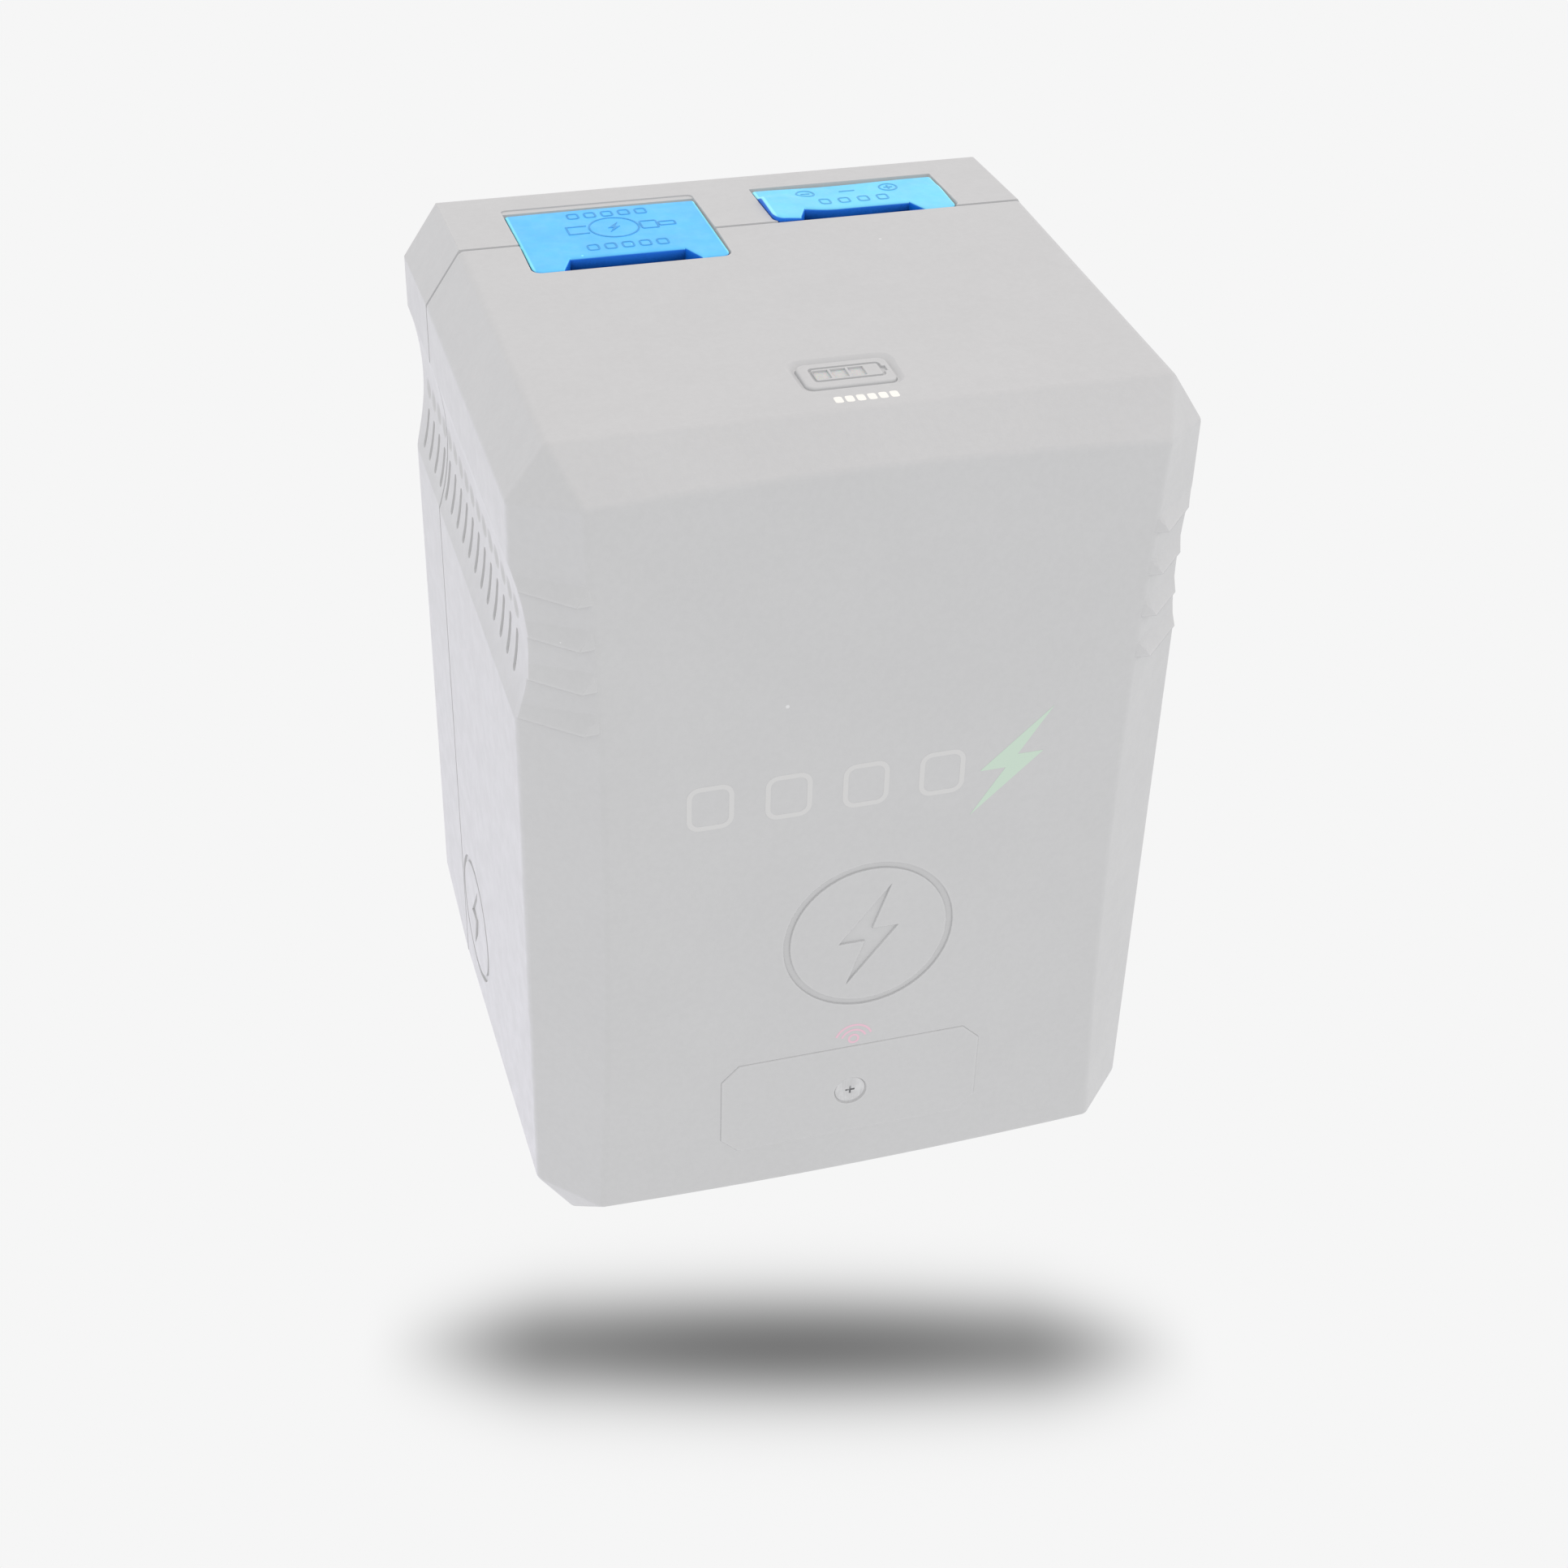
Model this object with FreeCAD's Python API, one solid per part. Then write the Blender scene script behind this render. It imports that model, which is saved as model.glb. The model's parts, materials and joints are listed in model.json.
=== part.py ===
import FreeCAD, Part
import math
import os

# Camera battery pack that slides onto a V-shaped wedge plate.
# Frame: +Z up, +Y towards the camera side (rear), +X to the right seen from the front.
# The origin is the point of the flat base below the middle of the body's depth. Millimetres.

V = FreeCAD.Vector
X_AXIS, Y_AXIS, Z_AXIS = V(1, 0, 0), V(0, 1, 0), V(0, 0, 1)

# ---- Driving dimensions: housing ----
BODY_W = 71.0              # across the flat sides
BODY_D = 64.0              # front face to rear face, without the wedge
BODY_H = 99.0              # base to the top at the seam
REAR_SHELL_D = 15.5        # depth of the thin rear shell
TOP_SLOPE = 0.035          # fall of the top towards the front, mm per mm
REAR_TOP_DROP = 0.3        # fall of the top from the seam to the rear face
REAR_BASE_RISE = 4.0       # rise of the base from the seam to the rear face
TOP_INSET = 3.9            # plan inset of the top plane at the sides
TOP_FRONT_INSET = 5.8      # plan inset of the top plane at the front
SIDE_DROP = 5.8            # height of the top side chamfer
FRONT_DROP = 4.3           # height of the top front chamfer at its ends
BASE_INSET = 3.85          # plan inset of the base at the sides
BASE_FRONT_INSET = 5.5     # plan inset of the base at the front
SIDE_RISE = 5.0            # height of the bottom side chamfer
FRONT_RISE = 4.55          # height of the bottom front chamfer at its ends
CORNER = 6.2               # legs of the vertical front chamfers
TOP_CREASE_BULGE = 0.9     # the front face's creases are shallow arcs
BASE_CREASE_BULGE = 0.8
SIDE_CREASE_BOW = 1.3
WALL = 2.4
EDGE_R = 1.0               # rounding of the front shell's outer edges
REAR_EDGE_R = 1.2          # rounding around the rear face

# ---- Seam joint between the two shells ----
SEAM_GROOVE_W = 0.45
SEAM_GROOVE_D = 0.35
SCOOP_GROOVE_D = 0.25      # the wall is thinner in the scoops
LIP_INSET = 1.4            # the rear shell's lip starts this far inside the outer surface
LIP_L = 2.4
REBATE_INSET = 1.3
REBATE_L = 3.0

# ---- Grip: scoops, dimples, slots and ribs ----
SCOOP_DEPTH = 1.4
SCOOP_CHORD = 17.7
SCOOP_Z = 76.25            # middle of the scoop at the front
DIMPLE_COUNT = 16
DIMPLE_FIRST_Y, DIMPLE_LAST_Y = -21.75, 28.25
DIMPLE_Z = 78.0
DIMPLE_R = 1.3
DIMPLE_DEPTH = 0.5
SLOT_W = 1.0
SLOT_TOP, SLOT_BOTTOM = 75.4, 70.6
SLOT_DEPTH = 0.28
RIB_COUNT = 4
RIB_PITCH = 4.85
RIB_TOP_LIP_Z = 82.4       # underside of the highest rib at the outer edge
RIB_RISE = 0.6             # a rib climbs by this much from its outer to its inner end
RIB_ROOT = 0.8             # how far a rib reaches into the wall
# Share of the chamfer's width, how proud the lip is, and the height of the sloping upper side
RIB_SECTIONS = ((-0.05, 0.15, 1.6), (0.90, 1.2, 2.3), (0.955, 0.95, 2.2), (0.985, 0.04, 2.0))

# ---- Port flaps and ports on the top ----
FLAP_T = 2.0
FLAP_GAP = 0.12            # beside and in front of a flap
FLAP_REAR_GAP = 0.2        # lets a flap lean back when open
LEDGE_W, LEDGE_DEPTH = 0.9, 0.15   # shallow step behind the USB flap
LEDGE_CORNER_R = 0.6
FLAP_CORNER_R = 1.1
PAD_CLEAR, PAD_ROOT = 0.15, 0.3    # a sealing pad stops above the tray and reaches into the flap
OPENING_REAR_CORNER_R = 0.15
TRUNNION_R, TRUNNION_L, TRUNNION_CLEAR = 0.6, 1.0, 0.05
USB_FLAP = dict(x0=-25.1, x1=-3.7, y0=9.4, y1=25.8)
DTAP_FLAP = dict(x0=3.25, x1=24.55, y0=16.62, y1=26.7)
USB_NOTCH = dict(x0=-21.8, x1=-6.9, depth=2.8)
DTAP_NOTCH = dict(x0=6.2, x1=20.8, depth=2.6)
NOTCH_SLOPE = 1.2          # how far a notch narrows towards its inner side
TRAY_TOP = 96.15
TRAY_T = 2.2
USB_A_CENTRE = (-14.4, 14.4)
USB_C_CENTRE = (-14.4, 20.8)
DTAP_CENTRE = (13.9, 21.4)
USB_A_SIZE = (13.1, 5.7)
USB_C_SIZE = (8.94, 3.2)
DTAP_SIZE = (17.0, 6.6)
DTAP_PIN_GAP = 8.0
FIT = 0.05                 # side clearance of parts that drop into openings

# ---- Status button ----
BUTTON_CENTRE = (-0.1, -18.95)
BUTTON_CAP = (9.3, 5.0)
BUTTON_MOAT = (10.9, 6.5)
BUTTON_MOAT_FLOOR = (9.8, 5.5)
BUTTON_MOAT_DEPTH = 0.4
BUTTON_CLEAR = 0.08
BUTTON_CORNER_R = 1.0
BUTTON_EDGE_R = 0.25
BUTTON_TRAVEL = 0.6
BUTTON_FLANGE_T = 1.0
BUTTON_STEM_R = 1.3
BUTTON_BAND = 5.0          # half the depth of the stretch of top wall around the button
ICON_SIZE = (7.4, 2.9)     # battery symbol sunk into the cap
ICON_OFFSET = (0.1, 0.05)
ICON_LINE = 0.3
ICON_DEPTH = 0.22
ICON_CORNER_R = 0.5
ICON_NUB = (0.35, 1.0)
WINDOW_SIZE = (1.55, 1.75)
WINDOW_XS = (-2.55, -0.75, 1.05)
WINDOW_FLOOR = 0.6         # above the flange
WINDOW_SUNK = 0.2
SWITCH_SIZE = (6.0, 6.0)
SWITCH_BODY_T, SWITCH_H = 3.4, 5.0
SWITCH_FLOOR_T = 1.0
PLUNGER_R, PLUNGER_CLEAR = 1.7, 0.06

# ---- Tag cover at the bottom of the front ----
COVER_X = -0.5             # middle of the cover
COVER_HALF_W = 15.1
COVER_Z0, COVER_Z1 = 9.4, 22.0
COVER_CHAMFER = 2.0
COVER_PROUD = 0.15
COVER_T = 1.25
COVER_EDGE_R = 0.12
COVER_GAP = 0.02
COVER_SCREW_Z = 15.5
TAG_POCKET = dict(half_w=11.5, z0=11.3, z1=20.3, depth=0.8)
TAG_CLEAR = 0.2
TAG_HEAD_R, TAG_SCREW_R = 1.75, 0.95
TAG_HEAD_SUNK = 0.18
TAG_CROSS, TAG_CROSS_DEPTH = (0.55, 0.12), 0.35    # reach and half width of the cross recess
TAG_INSERT_R = 1.6
TAG_BOSS_END_Y = -27.95

# ---- Debossed emblems ----
EMBLEM_X, EMBLEM_Z, EMBLEM_R = 0.7, 37.6, 9.6
SIDE_EMBLEM_Y, SIDE_EMBLEM_Z, SIDE_EMBLEM_R = 8.2, 16.6, 7.9
EMBLEM_DEPTH = 0.25
EMBLEM_LINE = 0.75
BOLT_SHARE = 1.35          # height of the bolt over the ring's radius

# ---- Wedge of the camera mount ----
WEDGE_T = 6.5
WEDGE_FLARE = 3.2          # 45 degree undercut
WEDGE_TOP_W, WEDGE_BASE_W = 47.0, 34.0
WEDGE_Z0, WEDGE_Z1 = 22.0, 82.0
WEDGE_CORNER = 3.0
CONTACT_W, CONTACT_Z0, CONTACT_Z1 = 27.0, 40.0, 64.0
CONTACT_RECESS = 2.5
CONTACT_STEM = dict(half_w=10.0, y0=24.0, margin=3.0)
CONTACT_SLOT_Y0 = 25.5
POWER_SLOTS = ((-8.0, 52.0), (8.0, 52.0))
DATA_XS, DATA_Z = (-3.0, 0.0, 3.0), 57.0
POWER_SLOT_SIZE, DATA_SLOT_SIZE = (4.8, 11.0), (1.6, 4.4)
POWER_FORK_SIZE, DATA_BLADE_SIZE = (3.2, 9.0), (0.7, 3.0)
FORK_ROOT_L, FORK_ARM_T = 1.5, 0.6
POWER_REACH, DATA_REACH = 2.0, 2.4     # how far the contacts pass the rear face
WEDGE_EDGE_R = 0.8
LATCH_SLOT = dict(depth_x=8.0, y0=2.0, y1=5.2, z0=66.0, z1=72.0)
POCKET_XS, POCKET_HALF_W, POCKET_DEPTH = (-9.0, 9.0), 2.5, 3.0
POCKET_Z0, POCKET_Z1 = 33.0, 37.5

# ---- Cells and electronics ----
CELL_R, CELL_L = 9.175, 65.0
CELL_Z = 10.5
CELL_XS = (-20.0, 0.0, 20.0)
CELL_YS = (-18.6, 0.6, 19.8)
POLE_R, POLE_H, CELL_EDGE_R = 3.6, 1.0, 0.8
HOLDER_HOLE_R = 9.2
HOLDER_H = 8.0
HOLDER_Y0, HOLDER_Y1 = -28.4, 28.9
HOLDER_HALF_W = 31.6
HOLDER_CORNER_R = 4.5
HOLDER_STEP = 0.7          # cells stand out of the holders by this much
LEAD_WAY_HALF_W = 8.0
LEG_R, POST_R, PILOT_R = 1.3, 2.3, 0.85
POST_PLACES = ((-10.0, -9.0), (10.0, -9.0), (-10.0, 9.2), (10.0, 9.2))
LINK_T, LINK_HALF_W = 0.15, 3.4
INSULATOR_T = 0.3
LEAD_R, LEAD_X = 1.3, 3.6
LEAD_PATH = ((24.0, 52.0), (18.5, 53.5), (14.0, 60.0), (13.2, 70.0))    # y and z, before the board
PAD_HALF_WS = (8.0, 20.0)                           # foam pads under the cells
PAD_YS = ((-25.0, -11.0), (-6.5, 1.5))
SHEET_HALF_WS, SHEET_Y0, SHEET_Y1 = (24.0, 23.5), -24.0, 23.4       # lower and upper insulator
SHEET_WINDOW = dict(half_w=7.0, y0=10.5, y1=16.0)   # lets the leads through the upper sheet
FLOOR_CLEAR = 0.02
BOARD_Z, BOARD_T = 79.5, 1.6
BOARD_HALF_W, BOARD_Y0, BOARD_Y1 = 29.0, -26.5, 25.6
BOARD_CORNER_R, BOARD_HOLE_R = 3.0, 1.1
BOARD_HEAD_R, BOARD_HEAD_T = 1.7, 1.3
BOARD_SLOT_SIZE, BOARD_SCREW_L = (2.0, 0.4), 6.0
CHIPS = ((13.5, -2.0, 9.0, 9.0, 1.4), (-4.0, -5.0, 6.0, 5.0, 1.2),      # x, y, width, depth, height
         (14.0, -15.0, 5.0, 4.0, 1.2), (-16.0, -3.0, 5.0, 6.0, 1.6))
CHIP_CORNER_R = 0.3
TRANSISTOR_SIZE, TRANSISTOR_H = (5.2, 5.0), 1.1
TRANSISTOR_X0, TRANSISTOR_PITCH, TRANSISTOR_Y, TRANSISTOR_COUNT = -24.0, 6.4, 3.0, 4
INDUCTOR_CENTRE, INDUCTOR_SIZE, INDUCTOR_H = (-15.0, -17.0), (10.0, 10.0), 5.0
CAPACITOR_XS, CAPACITOR_Y, CAPACITOR_R, CAPACITOR_H = (22.0, 4.5), -11.0, 3.1, 7.0
LED_XS, LED_Y_OFFSET, LED_SIZE, LED_H = (-2.2, 0.0, 2.2), 4.4, (1.6, 0.8), 0.6
PLUG_CENTRE, PLUG_SIZE, PLUG_H, PLUG_WALL = (23.5, -2.5), (8.0, 4.5), 5.0, 0.7

# ---- Screws ----
SHELL_SCREW_X, SHELL_SCREW_TOP_Z, SHELL_SCREW_BASE_Z = 27.5, 88.0, 7.7
BOSS_R = 2.6
SCREW_R, SCREW_HEAD_R, SCREW_HEAD_T = 1.2, 2.15, 1.6
SCREW_HEAD_EDGE_R = 0.4
SCREW_HOLE_R, HEAD_HOLE_R = 1.35, 2.3
HEAD_SEAT_DEPTH = 2.6
INSERT_R, INSERT_L = 1.9, 5.8
BOSS_FRONT_Y = 3.0
SHELL_SCREW_END_Y = 8.0
WEDGE_SCREWS = ((-15.5, 78.2), (15.5, 78.2), (-6.8, 28.0), (6.8, 28.0))
WEDGE_HEAD_R, WEDGE_SEAT_DEPTH = 2.4, 2.2
WEDGE_BOSS_R, WEDGE_BOSS_Y = 2.4, 26.8
WEDGE_SCREW_R = 1.2
WEDGE_SCREW_END_Y = 27.4
CROSS_REACH, CROSS_HALF_W, CROSS_DEPTH = 1.2, 0.25, 0.9
WEB_HALF_T = 0.8
WEB_REACH_X = 40.0         # past the walls; the shells trim it

HALF_W = BODY_W / 2
FRONT_Y, REAR_Y = -BODY_D / 2, BODY_D / 2
SEAM_Y = REAR_Y - REAR_SHELL_D
CORNER_Y = FRONT_Y + CORNER
SCOOP_R = (SCOOP_CHORD ** 2 / 4 + SCOOP_DEPTH ** 2) / (2 * SCOOP_DEPTH)
FLAP_AXIS_DROP = FLAP_T / 2
BOARD_TOP = BOARD_Z + BOARD_T
SWITCH_TOP = BOARD_TOP + SWITCH_H
SHELL_SCREWS = tuple((side * SHELL_SCREW_X, z) for side in (-1, 1)
                     for z in (SHELL_SCREW_TOP_Z, SHELL_SCREW_BASE_Z))
FAR = 150.0                # larger than the object, for cutting tools


# ---- Small helpers ----
def box(x0, x1, y0, y1, z0, z1):
    return Part.makeBox(x1 - x0, y1 - y0, z1 - z0, V(x0, y0, z0))


def rod(radius, start, direction, length):
    return Part.makeCylinder(radius, length, start, direction)


def prism(points, sweep):
    """Solid swept from a closed outline of points."""
    return Part.Face(closed_wire(points)).extrude(sweep)


def closed_wire(points):
    return Part.makePolygon(list(points) + [points[0]])


def rounded_box(x0, x1, y0, y1, z0, z1, radius):
    """Box whose four vertical edges are rounded."""
    block = box(x0, x1, y0, y1, z0, z1)
    upright = [e for e in block.Edges if abs(e.tangentAt(e.FirstParameter).z) > 0.9]
    return block.makeFillet(radius, upright)


def centred(centre, size, z0, z1, radius=0.0, grow=0.0):
    """Upright block around a plan centre, optionally rounded and grown on every side."""
    half_x, half_y = size[0] / 2 + grow, size[1] / 2 + grow
    sides = (centre[0] - half_x, centre[0] + half_x, centre[1] - half_y, centre[1] + half_y)
    if radius > 0:
        return rounded_box(*sides, z0, z1, radius)
    return box(*sides, z0, z1)


def fuse(shapes):
    shapes = list(shapes)
    return shapes[0].fuse(shapes[1:]).removeSplitter() if len(shapes) > 1 else shapes[0]


def cut(shape, tools):
    return shape.cut(list(tools))


def group(shapes):
    """Identical or related separate solids in one node."""
    solids = [solid for shape in shapes for solid in shape.Solids]
    return Part.makeCompound(solids)


def export(shape, node):
    solids = shape.Solids
    result = solids[0] if len(solids) == 1 else Part.makeCompound(solids)
    result.exportStep(os.path.join("parts", node + ".step"))


# ---- Housing surfaces ----
def top_z(y):
    """Height of the top plane at depth y."""
    if y <= SEAM_Y:
        return BODY_H - TOP_SLOPE * (SEAM_Y - y)
    return BODY_H - REAR_TOP_DROP * (y - SEAM_Y) / REAR_SHELL_D


def plane_through(a, b, c, inside):
    """Point and outward normal of the plane through three points."""
    normal = (b - a).cross(c - a).normalize()
    if (inside - a).dot(normal) > 0:
        normal = normal * -1
    return a, normal


def corner_points(side):
    """The housing's named corners on one side; side is -1 for left and 1 for right."""
    return dict(
        top=V(side * (HALF_W - TOP_INSET), FRONT_Y + TOP_FRONT_INSET, top_z(FRONT_Y + TOP_FRONT_INSET)),
        side=V(side * HALF_W, CORNER_Y, top_z(CORNER_Y) - SIDE_DROP),
        face=V(side * (HALF_W - CORNER), FRONT_Y, top_z(FRONT_Y) - FRONT_DROP),
        base=V(side * (HALF_W - BASE_INSET), FRONT_Y + BASE_FRONT_INSET, 0),
        base_side=V(side * HALF_W, CORNER_Y, SIDE_RISE),
        base_face=V(side * (HALF_W - CORNER), FRONT_Y, FRONT_RISE),
        seam_top=V(side * (HALF_W - TOP_INSET), SEAM_Y, BODY_H),
        seam_side=V(side * HALF_W, SEAM_Y, BODY_H - SIDE_DROP),
        seam_base=V(side * (HALF_W - BASE_INSET), SEAM_Y, 0),
        seam_base_side=V(side * HALF_W, SEAM_Y, SIDE_RISE),
    )


LEFT, RIGHT = corner_points(-1), corner_points(1)
MIDDLE = V(0, 0, BODY_H / 2)


def front_planes():
    """The flat faces that bound the front shell, without the arched creases."""
    planes = [(V(0, FRONT_Y, 0), V(0, -1, 0)), (V(0, 0, 0), V(0, 0, -1)),
              plane_through(LEFT["top"], RIGHT["top"], RIGHT["seam_top"], MIDDLE),
              plane_through(LEFT["top"], RIGHT["top"], RIGHT["face"], MIDDLE),
              plane_through(LEFT["base"], RIGHT["base"], RIGHT["base_face"], MIDDLE)]
    for p in (LEFT, RIGHT):
        planes.append(plane_through(p["side"], p["base_side"], p["seam_side"], MIDDLE))
        planes.append(plane_through(p["side"], p["base_side"], p["face"], MIDDLE))
        planes.append(plane_through(p["top"], p["side"], p["seam_top"], MIDDLE))
        planes.append(plane_through(p["base"], p["base_side"], p["seam_base"], MIDDLE))
    return planes


def rear_planes():
    """The flat faces that bound the rear shell."""
    drop, rise = V(0, REAR_SHELL_D, -REAR_TOP_DROP), V(0, REAR_SHELL_D, REAR_BASE_RISE)
    planes = [(V(0, REAR_Y, 0), V(0, 1, 0)),
              plane_through(LEFT["seam_top"], RIGHT["seam_top"], RIGHT["seam_top"] + drop, MIDDLE),
              plane_through(LEFT["seam_base"], RIGHT["seam_base"], RIGHT["seam_base"] + rise, MIDDLE)]
    for p in (LEFT, RIGHT):
        planes.append(plane_through(p["seam_side"], p["seam_base_side"], p["seam_side"] + Y_AXIS, MIDDLE))
        planes.append(plane_through(p["seam_top"], p["seam_side"], p["seam_top"] + drop, MIDDLE))
        planes.append(plane_through(p["seam_base"], p["seam_base_side"], p["seam_base"] + rise, MIDDLE))
    return planes


def block_between(planes, inset, y0, y1):
    """Convex block inside the given planes, moved inwards by inset, between two depths."""
    block = box(-FAR, FAR, y0, y1, -FAR, FAR)
    for point, normal in planes:
        block = block.cut(rod(2 * FAR, point - normal * inset, normal, 2 * FAR))
    return block


def ring(planes, outer_inset, inner_inset, y0, y1):
    """Closed band that follows the housing wall."""
    return block_between(planes, outer_inset, y0, y1).cut(block_between(planes, inner_inset, y0 - 1, y1 + 1))


def arc(a, bulge, b):
    middle = (a + b) * 0.5 + bulge
    return Part.Arc(a, middle, b).toShape()


def line(a, b):
    return Part.makeLine(a, b)


def flat_face(*edges):
    return Part.Face(Part.Wire(Part.__sortEdges__(list(edges))))


def polygon_face(*points):
    return Part.Face(closed_wire(points))


def front_envelope():
    """Outer solid of the front shell, with the arched creases around the front face."""
    top_arc = arc(LEFT["face"], V(0, 0, TOP_CREASE_BULGE), RIGHT["face"])
    base_arc = arc(LEFT["base_face"], V(0, 0, -BASE_CREASE_BULGE), RIGHT["base_face"])
    side_arcs = [arc(p["face"], V(bow, 0, 0), p["base_face"])
                 for p, bow in ((LEFT, SIDE_CREASE_BOW), (RIGHT, -SIDE_CREASE_BOW))]
    faces = [flat_face(top_arc, base_arc, *side_arcs),
             Part.makeRuledSurface(line(LEFT["top"], RIGHT["top"]), top_arc),
             Part.makeRuledSurface(line(LEFT["base"], RIGHT["base"]), base_arc),
             polygon_face(LEFT["top"], RIGHT["top"], RIGHT["seam_top"], LEFT["seam_top"]),
             polygon_face(LEFT["base"], RIGHT["base"], RIGHT["seam_base"], LEFT["seam_base"])]
    for p, side_arc in ((LEFT, side_arcs[0]), (RIGHT, side_arcs[1])):
        faces.append(Part.makeRuledSurface(line(p["side"], p["base_side"]), side_arc))
        faces.append(polygon_face(p["top"], p["side"], p["face"]))
        faces.append(polygon_face(p["base"], p["base_side"], p["base_face"]))
        faces.append(polygon_face(p["top"], p["side"], p["seam_side"], p["seam_top"]))
        faces.append(polygon_face(p["base"], p["base_side"], p["seam_base_side"], p["seam_base"]))
        faces.append(polygon_face(p["side"], p["base_side"], p["seam_base_side"], p["seam_side"]))
    names = ("seam_top", "seam_side", "seam_base_side", "seam_base")
    faces.append(polygon_face(*[RIGHT[name] for name in names], *[LEFT[name] for name in reversed(names)]))
    shell = Part.Shell(faces)
    shell.sewShape()
    shell.reverse()            # sewing leaves the faces pointing inwards
    return Part.Solid(shell)


def round_edges(solid, radius, wanted):
    """Rounds the edges that wanted() accepts."""
    return solid.makeFillet(radius, [edge for edge in solid.Edges if wanted(edge)])


def off_seam(edge):
    return min(v.Point.y for v in edge.Vertexes) < SEAM_Y - 1


def on_rear_face(edge):
    return all(abs(v.Point.y - REAR_Y) < 0.01 for v in edge.Vertexes)


def scoop_zone():
    """The stretch of the seam at both scoops: the wall is thin there, so the rims just meet."""
    low, high = SCOOP_Z - SCOOP_CHORD / 2 - 1.5, SCOOP_Z + SCOOP_CHORD / 2 + 3.5
    return [box(-FAR, -HALF_W + 4, 0, SEAM_Y + 1, low, high), box(HALF_W - 4, FAR, 0, SEAM_Y + 1, low, high)]


# ---- Grip features ----
def scoop_tools(extra_depth=0.0):
    """Two shallow cylinders that hollow the sides for the fingers; they follow the top's slope."""
    direction = V(0, 1, TOP_SLOPE).normalize()
    tools = []
    for side in (-1, 1):
        start = V(side * (HALF_W - SCOOP_DEPTH + SCOOP_R), FRONT_Y, SCOOP_Z) - direction * FAR / 2
        start.z = SCOOP_Z + TOP_SLOPE * (start.y - CORNER_Y)
        tools.append(rod(SCOOP_R + extra_depth, start, direction, 2 * FAR))
    return tools


def seam_groove(planes, y0, y1):
    """Shallow groove along the seam, between two depths; it goes on through the scoops."""
    slab = box(-FAR, FAR, y0, y1, -FAR, FAR)
    in_scoops = [tool.common(slab) for tool in scoop_tools(SCOOP_GROOVE_D)]
    return [ring(planes, -1, SEAM_GROOVE_D, y0, y1)] + in_scoops


def scoop_x(y, z):
    """Half width of the housing inside the scoop."""
    middle_z = SCOOP_Z + TOP_SLOPE * (y - CORNER_Y)
    return HALF_W - SCOOP_DEPTH + SCOOP_R - math.sqrt(SCOOP_R ** 2 - (z - middle_z) ** 2)


def slot_tool(side, y):
    """Upright slot with round ends, through the whole wall."""
    inner, reach = HALF_W - WALL, WALL + 1
    low, high = SLOT_BOTTOM + SLOT_W / 2, SLOT_TOP - SLOT_W / 2
    x0, x1 = sorted((side * inner, side * (inner + reach)))
    middle = box(x0, x1, y - SLOT_W / 2, y + SLOT_W / 2, low, high)
    ends = [rod(SLOT_W / 2, V(side * inner, y, z), V(side, 0, 0), reach) for z in (low, high)]
    return fuse([middle] + ends)


def texture_tools():
    """Dimples with a slot below each, in both scoops; the slots' floors follow the scoop's curve."""
    tools = []
    pitch = (DIMPLE_LAST_Y - DIMPLE_FIRST_Y) / (DIMPLE_COUNT - 1)
    ball_r = (DIMPLE_R ** 2 + DIMPLE_DEPTH ** 2) / (2 * DIMPLE_DEPTH)
    for side, slot_floor in zip((-1, 1), scoop_tools(SLOT_DEPTH)):
        for index in range(DIMPLE_COUNT):
            y = DIMPLE_FIRST_Y + index * pitch
            dimple_x = scoop_x(y, DIMPLE_Z) - DIMPLE_DEPTH + ball_r
            tools.append(Part.makeSphere(ball_r, V(side * dimple_x, y, DIMPLE_Z)))
            tools.append(slot_tool(side, y).common(slot_floor))
    return tools


def rib(side, lip_z):
    """One saw-tooth grip rib on a vertical front chamfer: it grows from nothing at the outer
    edge to its full height at the inner end, where a short bevel closes it."""
    outer = V(side * HALF_W, CORNER_Y, lip_z)
    share = (lip_z - BODY_H / 2) / (BODY_H / 2)
    bow = SIDE_CREASE_BOW * (1 - share ** 2)
    across = V(side * (HALF_W - CORNER - bow), FRONT_Y, lip_z + RIB_RISE) - outer
    out = V(side, -1.0, 0).normalize()
    sections = []
    for reach, proud, ramp in RIB_SECTIONS:
        foot = outer + across * reach - out * RIB_ROOT
        lip = foot + out * (RIB_ROOT + proud)
        sections.append(closed_wire([foot, lip, foot + out * RIB_ROOT + Z_AXIS * ramp, foot + Z_AXIS * ramp]))
    return Part.makeLoft(sections, True, True)


def rib_bars():
    """All ribs, kept inside the flat sides and the front face."""
    bounds = box(-HALF_W, HALF_W, FRONT_Y, SEAM_Y, 0, BODY_H)
    return [rib(side, RIB_TOP_LIP_Z - index * RIB_PITCH).common(bounds)
            for side in (-1, 1) for index in range(RIB_COUNT)]


# ---- Emblem: a plain ring around a lightning bolt ----
def bolt_outline(size):
    """Corner points of a lightning bolt, size tall, around the origin in the XZ plane."""
    half = [(0.18, 0.5), (-0.26, -0.06), (-0.03, -0.06)]
    shape = half + [(-x, -z) for x, z in half]
    return [V(x * size, 0, z * size) for x, z in shape]


def emblem_tool(radius):
    """Debossing tool around the origin, facing -Y."""
    depth = EMBLEM_DEPTH
    band = rod(radius, V(0, -1, 0), Y_AXIS, depth + 1).cut(
        rod(radius - EMBLEM_LINE, V(0, -2, 0), Y_AXIS, depth + 3))
    bolt = prism(bolt_outline(radius * BOLT_SHARE), V(0, depth + 1, 0))
    bolt.translate(V(0, -1, 0))
    return [band, bolt]


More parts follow.
